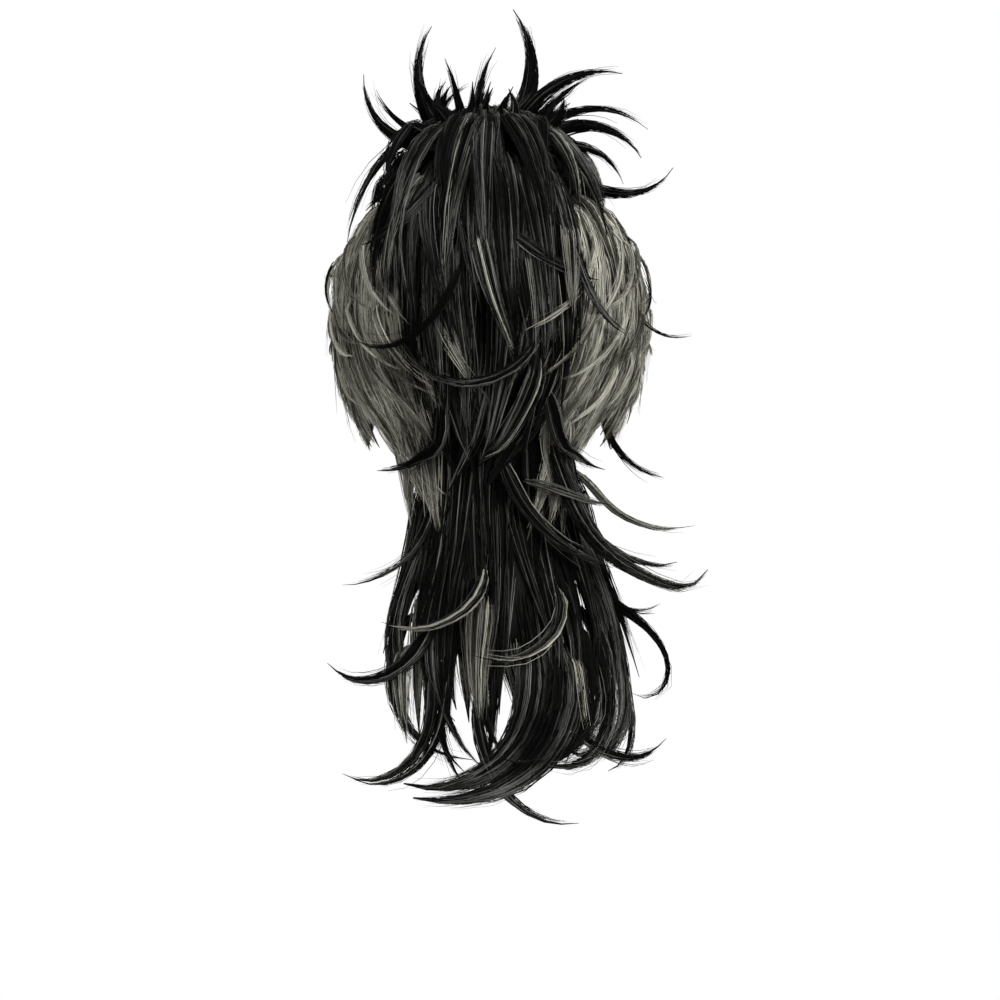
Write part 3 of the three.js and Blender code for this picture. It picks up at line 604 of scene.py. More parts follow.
def guide_object(name, guides):
    """The guides as one mesh of edges, with what each point needs stored on it."""
    count = GUIDE_POINTS
    vertices = np.concatenate([g["points"] for g in guides])
    edges = [(i * count + k, i * count + k + 1) for i in range(len(guides)) for k in range(count - 1)]
    mesh = bpy.data.meshes.new(name)
    mesh.from_pydata([tuple(v) for v in vertices], edges, [])
    for key, kind in (("across", "FLOAT_VECTOR"), ("up", "FLOAT_VECTOR"), ("share", "FLOAT")):
        store(mesh, key, kind, np.concatenate([g[key] for g in guides]))
    for key, kind in (("strands", "INT"), ("ash", "FLOAT"), ("tone", "FLOAT"), ("wisps", "FLOAT")):
        store(mesh, key, kind, np.repeat([g[key] for g in guides], count))
    store(mesh, "lock", "INT", np.repeat(np.arange(len(guides)), count))
    obj = bpy.data.objects.new(name, mesh)
    bpy.context.collection.objects.link(obj)
    return obj


def core_part(guides, fill):
    """A solid lens under each lock's strands, so that no gap shows through it, toned dark as painted shade.
    """
    turn = np.arange(CORE_SIDES) / CORE_SIDES * 2 * math.pi
    size = GUIDE_POINTS * CORE_SIDES
    vertices, faces, grain, grey, share = [], [], [], [], []
    for number, guide in enumerate(guides):
        start = number * size
        middle = guide["points"] - guide["up"] * CORE_DROP
        ring = (middle[:, None] + fill * np.cos(turn)[None, :, None] * guide["across"][:, None]
                + fill * CORE_DEPTH * np.sin(turn)[None, :, None] * guide["up"][:, None])
        vertices.append(ring.reshape(-1, 3))
        for k in range(GUIDE_POINTS - 1):
            for s in range(CORE_SIDES):
                a = start + k * CORE_SIDES + s
                b = start + k * CORE_SIDES + (s + 1) % CORE_SIDES
                faces.append((a, b, b + CORE_SIDES, a + CORE_SIDES))
        faces.append(tuple(start + s for s in reversed(range(CORE_SIDES))))
        end = start + (GUIDE_POINTS - 1) * CORE_SIDES
        faces.append(tuple(end + s for s in range(CORE_SIDES)))
        width = np.linalg.norm(guide["across"][GUIDE_POINTS // 3])
        length = np.linalg.norm(np.diff(guide["points"], axis=0), axis=1).sum()
        shares = guide["share"][:, None] * np.ones(CORE_SIDES)
        crosswise = np.cos(turn)[None, :] * np.ones((GUIDE_POINTS, 1)) * width
        grain.append(np.stack([crosswise + number, shares * length, 0 * shares], -1).reshape(-1, 3))
        grey.append(np.full(size, 1.0 if guide["ash"] > GREY_ASH else 0.0))
        share.append(shares.ravel())
    # Painted shade: cores are toned darker than the strands over them
    tint = np.full(size * len(guides), CORE_PAINTED_SHADE)
    return Part(np.concatenate(vertices), faces, np.concatenate(grain), tint, np.concatenate(grey),
                np.concatenate(share))


def edge_curve(count):
    """Runs from nothing at both ends to 1 in the middle, steeply at the ends."""
    return np.sin(np.linspace(0, math.pi, count + 1)) ** EDGE_ROUNDING


def wall_faces(rows, columns):
    """Faces of a closed wall, whose outer points come first, row by row, and then its inner ones."""
    wide = columns + 1
    count = (rows + 1) * wide
    faces = []
    for row in range(rows):
        for column in range(columns):
            a = row * wide + column
            faces.append((a, a + wide, a + wide + 1, a + 1))
            faces.append((a + count, a + 1 + count, a + wide + 1 + count, a + wide + count))
    border = list(range(columns)) + [row * wide + columns for row in range(rows)]
    border += [rows * wide + column for column in range(columns, 0, -1)]
    border += [row * wide for row in range(rows, 0, -1)]
    for i, a in enumerate(border):
        b = border[(i + 1) % len(border)]
        faces.append((a, b, b + count, a + count))
    return faces


def backing_part(form, spec, grey):
    """A wall of hair under the locks, with its grain running down, toned dark as painted shade."""
    sizes = form.sizes
    rows = BACKING_ROWS
    columns = int((spec["right"] - spec["left"]) / COLUMN_DEGREES)
    angles = np.radians(np.linspace(spec["left"], spec["right"], columns + 1))
    angles = angles[None, :] * np.ones((rows + 1, 1))
    ragged = RAGGED_HEM * np.abs(np.sin(HEM_BEAT * np.arange(columns + 1)))
    hem = form.station(np.linspace(spec["left_hem"], spec["right_hem"], columns + 1) - ragged)[None, :]
    top = form.station(spec["top"])
    stations = top + (hem - top) * np.linspace(0, 1, rows + 1)[:, None]
    height = form.point(stations, angles)[..., 2]
    fall = np.maximum(0, form.point(form.rim(angles), angles)[..., 2] - height)
    inner = sizes.cap_wall + spec["under"] * sizes.hair_depth + spec["hang"] * fall
    swell = edge_curve(columns)[None, :] * edge_curve(rows)[:, None]
    thick = spec["depth"] * sizes.hair_depth * (EDGE_THICKNESS + (1 - EDGE_THICKNESS) * swell)
    outer_points = form.off(stations, angles, inner + thick).reshape(-1, 3)
    inner_points = form.off(stations, angles, inner).reshape(-1, 3)
    vertices = np.concatenate([outer_points, inner_points])
    cross = (angles * sizes.head_breadth / 2).ravel()
    grain = np.stack([cross, -height.ravel(), 0 * cross], -1)
    size = len(vertices)
    # Painted shade: the backing is toned dark
    return Part(vertices, wall_faces(rows, columns), np.concatenate([grain, grain]), np.full(size, CORE_PAINTED_SHADE),
                np.full(size, grey), np.full(size, PLAIN_SHARE))


def joined_solid(name, parts):
    """Joins parts into one mesh."""
    faces = []
    start = 0
    for part in parts:
        faces += [tuple(i + start for i in face) for face in part.faces]
        start += len(part.vertices)
    obj = mesh_object(name, np.concatenate([part.vertices for part in parts]), faces)
    for key in ("grain", "tint", "grey", "share"):
        values = np.concatenate([getattr(part, key) for part in parts])
        store(obj.data, key, "FLOAT_VECTOR" if key == "grain" else "FLOAT", values)
    return obj


# Geometry Nodes


class Tree:
    """Adds nodes to a node tree, one line each."""

    def __init__(self, tree):
        self.tree = tree

    def add(self, kind, settings=None, **values):
        node = self.tree.nodes.new(kind)
        for key, value in (settings or {}).items():
            setattr(node, key, value)
        for key, value in values.items():
            socket = self.socket(node, key)
            if isinstance(value, bpy.types.NodeSocket):
                self.tree.links.new(value, socket)
            elif value is not None:
                socket.default_value = value
        return node

    @staticmethod
    def socket(node, key):
        names = key.replace("_", " ").lower()
        for socket in node.inputs:
            if socket.enabled and socket.name.lower() == names:
                return socket
        raise KeyError(f"{node.bl_idname} has no input {key}")

    @staticmethod
    def out(node, name=None):
        for socket in node.outputs:
            if socket.enabled and (name is None or socket.name == name):
                return socket
        raise KeyError(f"{node.bl_idname} has no output {name}")


# What is drawn at random for a strand or for its whole wisp, and what each adds to the seed
CHANCES = {
    "place across": 1, "place upwards": 2, "wave": 3, "loose": 4, "own cut": 5, "begin": 6, "own tone": 7,
    "own odds": 8, "radius": 9, "wisp cut": 15, "wisp tone": 16, "wisp odds": 17,
}
STRAY_SEED = 91
LOCK_STRIDE = 37.0
TREE_INPUTS = (
    ("Radius", "NodeSocketFloat"),
    ("Wave", "NodeSocketFloat"),
    ("Fray", "NodeSocketFloat"),
    ("Uneven", "NodeSocketFloat"),
    ("Points", "NodeSocketInt"),
    ("Seed", "NodeSocketInt"),
    ("Material", "NodeSocketMaterial"),
)


def strand_tree():
    """Copies each guide into strands, scatters them across the lock and gives them a section."""
    group = bpy.data.node_groups.new("lock_strands", "GeometryNodeTree")
    face = group.interface
    face.new_socket("Geometry", in_out="INPUT", socket_type="NodeSocketGeometry")
    for name, kind in TREE_INPUTS:
        face.new_socket(name, in_out="INPUT", socket_type=kind)
    face.new_socket("Geometry", in_out="OUTPUT", socket_type="NodeSocketGeometry")
    t = Tree(group)
    given = t.add("NodeGroupInput").outputs

    def attribute(name, kind):
        return t.out(t.add("GeometryNodeInputNamedAttribute", {"data_type": kind}, Name=name))

    def marked(geometry, name, value):
        return t.out(t.add("GeometryNodeStoreNamedAttribute", {"data_type": "FLOAT", "domain": "POINT"},
                           Geometry=geometry, Name=name, Value=value))

    curves = t.out(t.add("GeometryNodeMeshToCurve", Mesh=given["Geometry"]))
    copies = t.add("GeometryNodeDuplicateElements", {"domain": "SPLINE"}, Geometry=curves,
                   Amount=attribute("strands", "INT"))
    strand = t.out(t.add("GeometryNodeCurveOfPoint"), "Curve Index")

    def chance(name, low, high, who=strand):
        seed = t.add("ShaderNodeMath", {"operation": "ADD"})
        group.links.new(given["Seed"], seed.inputs[0])
        seed.inputs[1].default_value = CHANCES[name]
        return t.out(t.add("FunctionNodeRandomValue", {"data_type": "FLOAT"}, Min=low, Max=high, ID=who,
                           Seed=seed.outputs[0]))

    def maths(operation, a, b=None):
        node = t.add("ShaderNodeMath", {"operation": operation})
        for socket, value in zip(node.inputs, (a, b)):
            if isinstance(value, bpy.types.NodeSocket):
                group.links.new(value, socket)
            elif value is not None:
                socket.default_value = value
        return node.outputs[0]

    def scaled(vector, amount):
        node = t.add("ShaderNodeVectorMath", {"operation": "SCALE"}, Vector=vector)
        group.links.new(amount, node.inputs["Scale"])
        return node.outputs[0]

    def summed(a, b):
        node = t.add("ShaderNodeVectorMath", {"operation": "ADD"})
        group.links.new(a, node.inputs[0])
        group.links.new(b, node.inputs[1])
        return node.outputs[0]

    # Place across the lock, gathered into wisps towards the tip
    across = attribute("across", "FLOAT_VECTOR")
    up = attribute("up", "FLOAT_VECTOR")
    share = attribute("share", "FLOAT")
    wisps = attribute("wisps", "FLOAT")
    spread = chance("place across", -1.0, 1.0)
    number = maths("FLOOR", maths("MULTIPLY", spread, wisps))
    middle = maths("DIVIDE", maths("ADD", number, 0.5), wisps)
    gathered = maths("MULTIPLY", maths("POWER", share, 1.3), 0.8)
    sideways = maths("ADD", spread, maths("MULTIPLY", maths("SUBTRACT", middle, spread), gathered))
    wisp = maths("ADD", number, maths("MULTIPLY", attribute("lock", "INT"), LOCK_STRIDE))
    upwards = maths("MULTIPLY", chance("place upwards", -0.3, 1.0),
                    maths("SQRT", maths("SUBTRACT", 1.02, maths("MULTIPLY", sideways, sideways))))
    offset = summed(scaled(across, sideways), scaled(up, upwards))

    # Waves, and the tips of a few strands that stand out
    shifted = summed(t.out(t.add("GeometryNodeInputPosition")), scaled(up, chance("wave", 0.0, 60.0)))
    noise = t.add("ShaderNodeTexNoise", Vector=shifted, Scale=14.0, Detail=1.0)
    centred = t.add("ShaderNodeVectorMath", {"operation": "SUBTRACT"})
    group.links.new(noise.outputs["Color"], centred.inputs[0])
    centred.inputs[1].default_value = (0.5, 0.5, 0.5)
    waviness = maths("MULTIPLY", maths("MULTIPLY", given["Wave"], share), 2.0)
    offset = summed(offset, scaled(centred.outputs[0], waviness))
    loose = maths("POWER", chance("loose", 0.0, 1.0), 9.0)
    reach = maths("MULTIPLY", maths("MULTIPLY", given["Fray"], loose), maths("POWER", share, 1.6))
    astray = t.add("FunctionNodeRandomValue", {"data_type": "FLOAT_VECTOR"}, Min=(-1, -1, -1), Max=(1, 1, 1),
                   ID=strand, Seed=STRAY_SEED)
    offset = summed(offset, scaled(t.out(astray), reach))
    placed = t.add("GeometryNodeSetPosition", Geometry=t.out(copies), Offset=offset)

    # Uneven ends, and what a wisp's strands share, kept through the trim
    cut = maths("ADD", chance("own cut", 0.0, 0.5), chance("wisp cut", 0.0, 0.6, wisp))
    kept = marked(t.out(placed), "cut", cut)
    kept = marked(kept, "wisp_tone", chance("wisp tone", 0.0, 1.0, wisp))
    kept = marked(kept, "wisp_odds", chance("wisp odds", 0.0, 1.0, wisp))
    index = t.out(t.add("GeometryNodeInputIndex"))
    end = maths("SUBTRACT", 1.0, maths("MULTIPLY", given["Uneven"], attribute("cut", "FLOAT")))
    trimmed = t.add("GeometryNodeTrimCurve", Curve=kept)
    group.links.new(chance("begin", 0.0, 0.12, index), trimmed.inputs[2])
    group.links.new(end, trimmed.inputs[3])
    even = t.add("GeometryNodeResampleCurve", Curve=t.out(trimmed), Count=given["Points"])

    # Tone and greyness of each strand; its tone is drawn at random for it and for its wisp, and in black hair
    # the lightest tones show a painted sheen
    mixed = maths("ADD", maths("MULTIPLY", chance("own tone", 0.0, 1.0), 0.32),
                  maths("MULTIPLY", attribute("wisp_tone", "FLOAT"), 0.74))
    tinted = marked(t.out(even), "tint", maths("ADD", maths("POWER", mixed, 1.5), attribute("tone", "FLOAT")))
    # Greyness: where a black lock has only a few grey strands, these stand as painted sheen; where a grey
    # lock's grey share is just under 1, some strands come out part black, as painted shade between grey wisps
    odds = maths("ADD", maths("MULTIPLY", attribute("wisp_odds", "FLOAT"), 0.7), chance("own odds", 0.0, 0.3))
    greyness = maths("MULTIPLY", maths("SUBTRACT", attribute("ash", "FLOAT"), odds), 3.0)
    greyed = marked(tinted, "grey", maths("MINIMUM", maths("MAXIMUM", greyness, 0.0), 1.0))

    # A three-sided tube along each strand
    along = t.out(t.add("GeometryNodeSplineParameter"), "Factor")
    thin = maths("SUBTRACT", 1.0, maths("MULTIPLY", maths("POWER", along, 2.5), 0.8))
    radius = maths("MULTIPLY", maths("MULTIPLY", given["Radius"], thin), chance("radius", 0.6, 1.25))
    section = t.add("GeometryNodeCurvePrimitiveCircle", Resolution=3, Radius=1.0)
    tube = t.add("GeometryNodeCurveToMesh", Curve=greyed, Profile_Curve=t.out(section), Scale=radius,
                 Fill_Caps=True)
    real = t.add("GeometryNodeRealizeInstances", Geometry=t.out(tube))
    coloured = t.add("GeometryNodeSetMaterial", Geometry=t.out(real), Material=given["Material"])
    result = t.add("NodeGroupOutput")
    group.links.new(t.out(coloured), result.inputs[0])
    return group


def strands(name, guides, material, seed):
    """Grows the strands of some locks and turns them into a plain mesh."""
    settings = bpy.context.scene.wig_strands
    source = guide_object(name + "_guides", guides)
    group = bpy.data.node_groups.get("lock_strands") or strand_tree()
    modifier = source.modifiers.new("strands", "NODES")
    modifier.node_group = group
    identifiers = {item.name: item.identifier for item in group.interface.items_tree
                   if item.in_out == "INPUT"}
    for key, value in (("Radius", settings.thickness), ("Wave", settings.wave), ("Fray", settings.fray),
                       ("Uneven", settings.uneven), ("Points", settings.points), ("Seed", seed),
                       ("Material", material)):
        modifier[identifiers[key]] = value
    depsgraph = bpy.context.evaluated_depsgraph_get()
    depsgraph.update()
    mesh = bpy.data.meshes.new_from_object(source.evaluated_get(depsgraph), depsgraph=depsgraph)
    source.modifiers.remove(modifier)
    bpy.data.objects.remove(source)
    mesh.name = name
    obj = bpy.data.objects.new(name, mesh)
    bpy.context.collection.objects.link(obj)
    mesh.polygons.foreach_set("use_smooth", [True] * len(mesh.polygons))
    return obj


def bake_map(obj):
    """Gives every face of a hair piece its own small cell, for a bake."""
    mesh = obj.data
    layer = mesh.uv_layers.new(name="OFBake")
    loops = np.empty(len(mesh.polygons), dtype=int)
    mesh.polygons.foreach_get("loop_total", loops)
    starts = np.concatenate([[0], np.cumsum(loops)[:-1]])
    side = int(math.ceil(math.sqrt(len(loops))))
    uv = np.empty((len(mesh.loops), 2))
    for corners in np.unique(loops):
        picked = np.where(loops == corners)[0]
        cell = np.stack([picked % side, picked // side], -1) + 0.5
        for corner in range(corners):
            turn = (corner + 0.5) / corners * 2 * math.pi
            uv[starts[picked] + corner] = (cell + 0.45 * np.array([math.cos(turn), math.sin(turn)])) / side
    layer.data.foreach_set("uv", uv.ravel())


def join_pieces(name, objects):
    bpy.ops.object.select_all(action="DESELECT")
    for obj in objects:
        obj.select_set(True)
    bpy.context.view_layer.objects.active = objects[0]
    bpy.ops.object.join()
    objects[0].name = name
    objects[0].data.name = name
    return objects[0]


# Materials


class Sock:
    """A shader socket that can be added to, multiplied and so on."""

    def __init__(self, tree, socket):
        self.tree = tree
        self.socket = socket

    def maths(self, operation, other, swap=False):
        node = self.tree.nodes.new("ShaderNodeMath")
        node.operation = operation
        pair = (other, self) if swap else (self, other)
        for slot, value in zip(node.inputs, pair):
            if isinstance(value, Sock):
                self.tree.links.new(value.socket, slot)
            else:
                slot.default_value = value
        return Sock(self.tree, node.outputs[0])

    def __add__(self, other):
        return self.maths("ADD", other)

    __radd__ = __add__

    def __sub__(self, other):
        return self.maths("SUBTRACT", other)

    def __rsub__(self, other):
        return self.maths("SUBTRACT", other, swap=True)

    def __mul__(self, other):
        return self.maths("MULTIPLY", other)

    __rmul__ = __mul__

    def __pow__(self, other):
        return self.maths("POWER", other)


class Shader:
    """A material whose nodes are added one line at a time."""

    def __init__(self, name):
        self.material = bpy.data.materials.new(name)
        self.material.use_nodes = True
        self.tree = self.material.node_tree
        self.bsdf = self.tree.nodes["Principled BSDF"]

    def node(self, kind, settings=None, output=0, **values):
        node = self.tree.nodes.new(kind)
        for key, value in (settings or {}).items():
            if key == "stops":
                ramp = node.color_ramp
                while len(ramp.elements) < len(value):
                    ramp.elements.new(0.5)
                for element, (place, colour) in zip(ramp.elements, value):
                    element.position = place
                    element.color = (*colour, 1)
            else:
                setattr(node, key, value)
        for key, value in values.items():
            slot = node.inputs[int(key[1:])] if key[0] == "i" and key[1:].isdigit() else node.inputs[key]
            if isinstance(value, Sock):
                self.tree.links.new(value.socket, slot)
            else:
                slot.default_value = value
        return Sock(self.tree, node.outputs[output])

    def feed(self, name, value):
        slot = self.bsdf.inputs[name]
        if isinstance(value, Sock):
            self.tree.links.new(value.socket, slot)
        else:
            slot.default_value = value


def blend(first, second, share):
    """A colour that lies a share of the way from one colour to another."""
    return tuple(a * (1 - share) + b * share for a, b in zip(first, second))


def hair_material(name, colours):
    """Single strands of black and grey fibre, each with its own shade, with painted sheen in broad patches
    and painted shade on cores and backings.
    """
    shader = Shader(name)
    tint = shader.node("ShaderNodeAttribute", {"attribute_name": "tint"}, output=2)
    grey = shader.node("ShaderNodeAttribute", {"attribute_name": "grey"}, output=2)
    share = shader.node("ShaderNodeAttribute", {"attribute_name": "share"}, output=2)
    grain = shader.node("ShaderNodeAttribute", {"attribute_name": "grain"}, output=1)
    place = shader.node("ShaderNodeTexCoord", output=3)
    stretched = shader.node("ShaderNodeMapping", Vector=grain, Scale=(2200, 60, 1))
    streaks = shader.node("ShaderNodeTexNoise", Vector=stretched, Scale=1.0, Detail=3.0, Roughness=0.6)
    # Painted sheen: broad patches where the strands are made lighter, as a highlight would make them
    painted_sheen_patches = shader.node("ShaderNodeTexNoise", Vector=place, Scale=22.0, Detail=2.0)
    # Place on the ramps: the tone (dark on cores and backings as painted shade), the grain's streaks, the
    # painted sheen patches, and a little lighter towards the tip
    shade = tint + (streaks - 0.5) * 0.6 + (painted_sheen_patches - 0.5) * 1.1 + share * 0.1 - 0.05
    # The black runs from its own deep colour up to a painted sheen
    black = shader.node("ShaderNodeValToRGB", {"stops": [
        (0.0, tuple(colours.black_deep)),
        (0.45, blend(colours.black_deep, colours.black_painted_sheen, 0.02)),
        (0.75, blend(colours.black_deep, colours.black_painted_sheen, 0.36)),
        (1.0, tuple(colours.black_painted_sheen)),
    ]}, Fac=shade)
    # The silver runs from a dark grey, partly painted shade, up to its lightest
    silver = shader.node("ShaderNodeValToRGB", {"stops": [
        (0.0, tuple(colours.grey_dark_and_painted_shade)),
        (0.35, blend(colours.grey_dark_and_painted_shade, colours.grey_light, 0.32)),
        (1.0, tuple(colours.grey_light)),
    ]}, Fac=shade)
    mixed = shader.node("ShaderNodeMix", {"data_type": "RGBA"}, output=2, i0=grey, i6=black, i7=silver)
    shader.feed("Base Color", mixed)
    shader.feed("Roughness", 0.55 + (streaks - 0.5) * 0.2)
    shader.feed("Specular IOR Level", 0.08)
    bump = shader.node("ShaderNodeBump", Height=streaks, Strength=0.35, Distance=0.0006)
    shader.feed("Normal", bump)
    return shader.material


def net_material(name, colours):
    """Fine elastic net: a mesh of small holes, as bump and shade."""
    shader = Shader(name)
    place = shader.node("ShaderNodeTexCoord", output=3)
    cells = shader.node("ShaderNodeTexVoronoi", {"feature": "DISTANCE_TO_EDGE"}, Vector=place, Scale=480.0)
    weave = shader.node("ShaderNodeValToRGB", {"stops": [(0.05, (1, 1, 1)), (0.25, (0.25, 0.25, 0.25))]},
                        Fac=cells)
    colour = shader.node("ShaderNodeMix", {"data_type": "RGBA", "blend_type": "MULTIPLY"}, output=2, i0=1.0,
                         i6=(*colours.net, 1), i7=weave)
    shader.feed("Base Color", colour)
    shader.feed("Roughness", 0.85)
    bump = shader.node("ShaderNodeBump", Height=weave, Strength=0.5, Distance=0.0004)
    shader.feed("Normal", bump)
    return shader.material


def material(slot):
    """The finish of a slot, made the first time that it is asked for."""
    name = "wig_" + slot
    made = bpy.data.materials.get(name)
    if made:
        return made
    make = net_material if slot == "cap_net" else hair_material
    return make(name, bpy.context.scene.wig_colours)


# Pieces


def hair_piece(node, guides, slot, seed, backing=None, fill=LOCK_FILL):
    """One node of the wig: its backing, a core under each lock, and the strands over them."""
    finish = material(slot)
    parts = [core_part([guide for guide in guides if guide["strands"] > CORE_STRANDS], fill)]
    if backing:
        parts.append(backing)
    solid = joined_solid(node + "_core", parts)
    solid.data.materials.append(finish)
    hair = strands(node + "_strands", guides, finish, seed)
    piece = join_pieces(node + "_hair", [solid, hair])
    bake_map(piece)
    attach(piece, "root")
    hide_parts(node)
    return piece


def dome_mesh(form, inner, outer, columns, rows, reach=1.0, peak=0.0):
    """A dome wall from the crown to a share of the way to the cap's rim, `peak` thicker at its middle."""
    angles = (np.arange(columns) / columns * 2 * math.pi)[None, :] * np.ones((rows, 1))
    stations = form.rim(angles) * (np.arange(1, rows + 1) / rows)[:, None] * reach
    shells = []
    swell = peak * (1 - np.arange(1, rows + 1) / rows)[:, None] ** 2 * np.ones(angles.shape)
    for off, top, rise in ((outer, outer + peak, swell), (inner, inner, 0 * swell)):
        ring = form.off(stations, angles, off + rise).reshape(-1, 3)
        shells.append(np.concatenate([[[0, 0, top]], ring]))
    return np.concatenate(shells), dome_faces(columns, rows)


def dome_faces(columns, rows):
    """Faces of a closed dome wall: its outer points come first, ring by ring, then its inner ones."""
    count = 1 + rows * columns
    faces = []
    for column in range(columns):
        after = (column + 1) % columns
        faces.append((0, 1 + column, 1 + after))
        for row in range(1, rows):
            above = 1 + (row - 1) * columns
            below = above + columns
            faces.append((above + column, below + column, below + after, above + after))
    faces += [tuple(i + count for i in reversed(face)) for face in faces]
    rim = 1 + (rows - 1) * columns
    for column in range(columns):
        a, b = rim + column, rim + (column + 1) % columns
        faces.append((a, a + count, b + count, b))
    return faces


def crown_pad(form):
    """The pad of hair that the spikes stand on, toned dark as painted shade."""
    sizes = form.sizes
    depth = PAD_DEPTH * sizes.hair_depth
    peak = PAD_PEAK * sizes.hair_depth
    vertices, faces = dome_mesh(form, sizes.cap_wall, depth, PAD_COLUMNS, PAD_ROWS, PAD_REACH, peak)
    size = len(vertices)
    x, y, _ = vertices.T
    grain = np.stack([np.arctan2(x, -y) * sizes.head_breadth / 2, np.hypot(x, y), 0 * x], -1)
    return Part(vertices, faces, grain, np.full(size, CORE_PAINTED_SHADE), np.zeros(size), np.full(size, PLAIN_SHARE))


class WIG_OT_cap(bpy.types.Operator):
    """Builds the net cap that the hair is sewn to"""
    bl_idname = "wig.cap"
    bl_label = "Net cap"

    def execute(self, context):
        form = HeadForm(context.scene.wig_sizes)
        vertices, faces = dome_mesh(form, 0.0, form.sizes.cap_wall, CAP_COLUMNS, CAP_ROWS)
        piece = mesh_object("wig_cap_net", vertices, faces)
        piece.data.materials.append(material("cap_net"))
        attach(piece, "root")
        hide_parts("wig_cap")
        return {"FINISHED"}


class WIG_OT_sides(bpy.types.Operator):
    """Builds the silver-grey sides"""
    bl_idname = "wig.sides"
    bl_label = "Grey sides"

    def execute(self, context):
        form = HeadForm(context.scene.wig_sizes)
        for node, mirror, seed in (("side_left", -1, 3), ("side_right", 1, 4)):
            rng = random.Random(seed)
            locks = all_locks(SIDE_BANDS + SIDE_SWEEPS, rng, mirror)
            guides = lock_guides(form, locks, form.sizes.head_height)
            guides += [spike_guide(form, spec) for spec in SIDE_STRAYS[node]]
            hair_piece(node, guides, "grey_hair", seed, backing_part(form, BACKINGS[node], 1.0))
        return {"FINISHED"}


class WIG_OT_fringe(bpy.types.Operator):
    """Builds the black front hair"""
    bl_idname = "wig.fringe"
    bl_label = "Fringe"

    def execute(self, context):
        form = HeadForm(context.scene.wig_sizes)
        guides = lock_guides(form, all_locks(FRINGE_BANDS, random.Random(6)), form.sizes.head_height)
        hair_piece("fringe", guides, "black_hair", 6, backing_part(form, BACKINGS["fringe"], 0.0))
        return {"FINISHED"}


class WIG_OT_back(bpy.types.Operator):
    """Builds the black layers over the back of the head"""
    bl_idname = "wig.back"
    bl_label = "Back layers"

    def execute(self, context):
        form = HeadForm(context.scene.wig_sizes)
        rng = random.Random(8)
        panel = band_locks(BACK_BANDS[0], rng)
        middle = MID_LOCKS + band_locks(BACK_BANDS[1], rng)
        upper = UPPER_LOCKS + all_locks(UPPER_BANDS, rng)
        layers = (("back_panel", panel), ("mid_back_locks", middle), ("upper_back_locks", upper))
        for seed, (node, locks) in enumerate(layers, 10):
            guides = lock_guides(form, locks, form.sizes.head_height)
            hair_piece(node, guides, "black_hair", seed, backing_part(form, BACKINGS[node], 0.0))
        return {"FINISHED"}


class WIG_OT_tail(bpy.types.Operator):
    """Builds the long black tail"""
    bl_idname = "wig.tail"
    bl_label = "Tail"

    def execute(self, context):
        form = HeadForm(context.scene.wig_sizes)
        locks = TAIL_LOCKS + all_locks(TAIL_BANDS, random.Random(14))
        guides = lock_guides(form, locks, form.sizes.tail_length)
        guides += [spike_guide(form, spec) for spec in TAIL_STRAYS]
        hair_piece("tail", guides, "black_hair", 14, backing_part(form, BACKINGS["tail"], 0.0))
        return {"FINISHED"}


class WIG_OT_streaks(bpy.types.Operator):
    """Builds the single grey locks on the black hair: painted sheen on the upper back, and grey streaks in
    the tail
    """
    bl_idname = "wig.streaks"
    bl_label = "Grey streaks"

    def execute(self, context):
        form = HeadForm(context.scene.wig_sizes)
        sets = (
            # The grey_streak pieces are painted sheen
            ("grey_streak", SHEEN_STREAKS, form.sizes.head_height),
            ("tail_streak", TAIL_STREAKS, form.sizes.tail_length),
            ("tail_grey", TAIL_GREYS, form.sizes.tail_length),
        )
        for name, locks, unit in sets:
            for number, lock in enumerate(locks, 1):
                guides = [lock_guide(form, lock, unit)]
                hair_piece(f"{name}_{number}", guides, "streak_hair", 20 + number, fill=STREAK_FILL)
        return {"FINISHED"}


class WIG_OT_crown(bpy.types.Operator):
    """Builds the spiky black crown"""
    bl_idname = "wig.crown"
    bl_label = "Crown"

    def execute(self, context):
        form = HeadForm(context.scene.wig_sizes)
        rng = random.Random(30)
        guides = [spike_guide(form, spec) for spec in SPIKES + crown_tufts(rng)]
        guides += lock_guides(form, all_locks(CROWN_BANDS, rng), form.sizes.head_height)
        hair_piece("crown_tuft", guides, "black_hair", 30, crown_pad(form))
        return {"FINISHED"}


def add_floor():
    turn = np.arange(FLOOR_CORNERS) / FLOOR_CORNERS * 2 * math.pi
    height = np.full(FLOOR_CORNERS, FLOOR_HEIGHT)
    rim = np.stack([FLOOR_RADIUS * np.cos(turn), FLOOR_RADIUS * np.sin(turn), height], -1)
    floor = mesh_object("floor", rim, [tuple(range(FLOOR_CORNERS))], smooth=False)
    white = Shader("floor_white")
    white.feed("Base Color", (0.9, 0.9, 0.9, 1))
    white.feed("Roughness", 0.9)
    floor.data.materials.append(white.material)


def light_world(scene):
    """A white surround that lights the wig less than it shows."""
    world = bpy.data.worlds.new("studio")
    world.use_nodes = True
    nodes, links = world.node_tree.nodes, world.node_tree.links
    background = nodes["Background"]
    background.inputs["Color"].default_value = (1, 1, 1, 1)
    ray = nodes.new("ShaderNodeLightPath")
    strength = nodes.new("ShaderNodeMapRange")
    strength.inputs["To Min"].default_value = WORLD_LIGHT
    strength.inputs["To Max"].default_value = 1.0
    links.new(ray.outputs["Is Camera Ray"], strength.inputs["Value"])
    links.new(strength.outputs["Result"], background.inputs["Strength"])
    scene.world = world
    scene.view_settings.view_transform = "Standard"


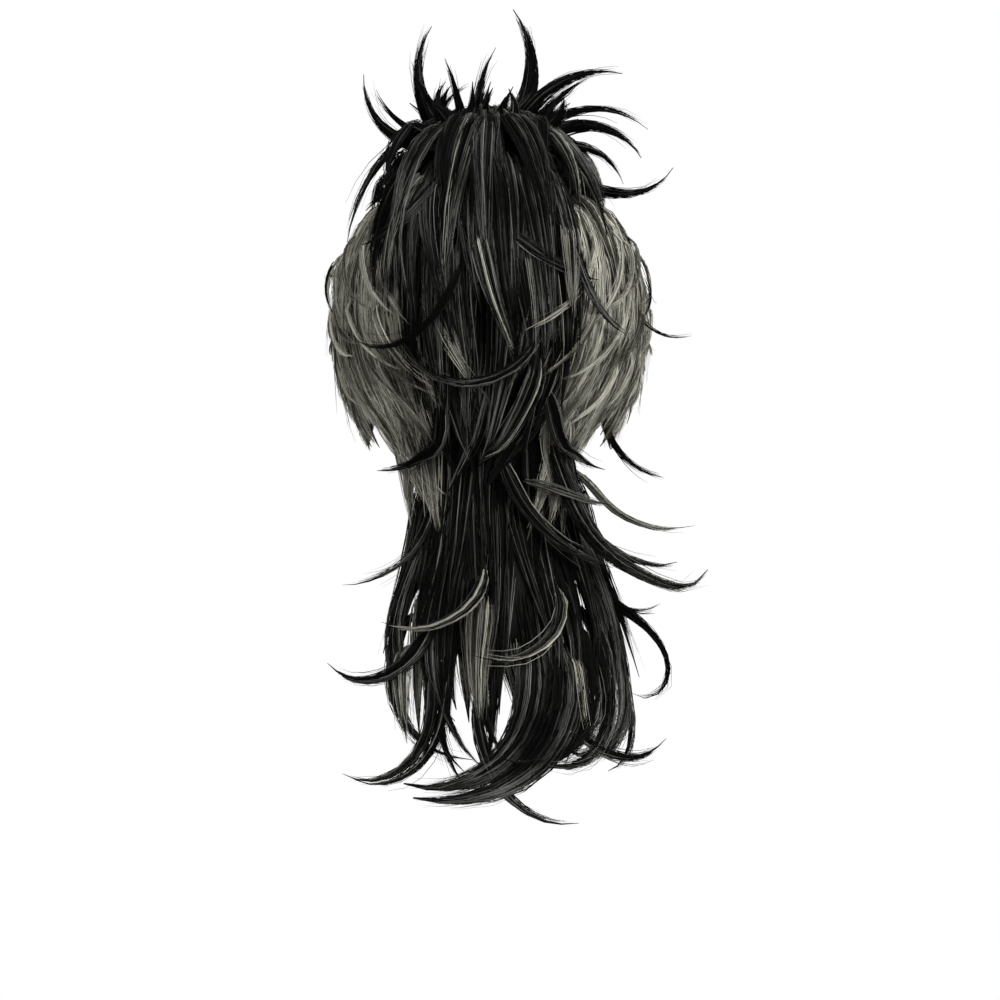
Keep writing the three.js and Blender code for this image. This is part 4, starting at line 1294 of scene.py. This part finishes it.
def add_lights(collection):
    for name, (place, size, power) in LIGHTS.items():
        data = bpy.data.lights.new(name, "AREA")
        data.size = size
        data.energy = power
        light = bpy.data.objects.new(name, data)
        light.location = place
        light.rotation_euler = (Vector(LIT_POINT) - Vector(place)).to_track_quat("-Z", "Y").to_euler()
        collection.objects.link(light)


class WIG_OT_stage(bpy.types.Operator):
    """Sets up the floor, the lights and the camera"""
    bl_idname = "wig.stage"
    bl_label = "Stage"

    def execute(self, context):
        add_floor()
        light_world(context.scene)
        add_lights(context.collection)
        data = bpy.data.cameras.new("photo_view")
        data.sensor_width = CAMERA_SENSOR
        data.lens = CAMERA_LENS
        camera = bpy.data.objects.new("photo_view", data)
        camera.location = CAMERA_PLACE
        camera.rotation_euler = (math.radians(90), 0, 0)
        context.collection.objects.link(camera)
        context.scene.camera = camera
        return {"FINISHED"}


class WIG_PT_panel(bpy.types.Panel):
    """Lists the wig's pieces"""
    bl_idname = "WIG_PT_panel"
    bl_label = "Mullet wig"
    bl_space_type = "VIEW_3D"
    bl_region_type = "UI"
    bl_category = "Wig"

    def draw(self, context):
        for operator in PIECES:
            self.layout.operator(operator.bl_idname)


PIECES = (WIG_OT_cap, WIG_OT_sides, WIG_OT_fringe, WIG_OT_back, WIG_OT_tail, WIG_OT_streaks, WIG_OT_crown,
          WIG_OT_stage)
CLASSES = (WigSizes, WigStrands, WigColours, *PIECES, WIG_PT_panel)


def register():
    for item in CLASSES:
        bpy.utils.register_class(item)
    bpy.types.Scene.wig_sizes = PointerProperty(type=WigSizes)
    bpy.types.Scene.wig_strands = PointerProperty(type=WigStrands)
    bpy.types.Scene.wig_colours = PointerProperty(type=WigColours)


def unregister():
    del bpy.types.Scene.wig_colours
    del bpy.types.Scene.wig_strands
    del bpy.types.Scene.wig_sizes
    for item in reversed(CLASSES):
        bpy.utils.unregister_class(item)


def main():
    register()
    for operator in PIECES:
        group, name = operator.bl_idname.split(".")
        getattr(getattr(bpy.ops, group), name)()


if __name__ == "__main__":
    main()
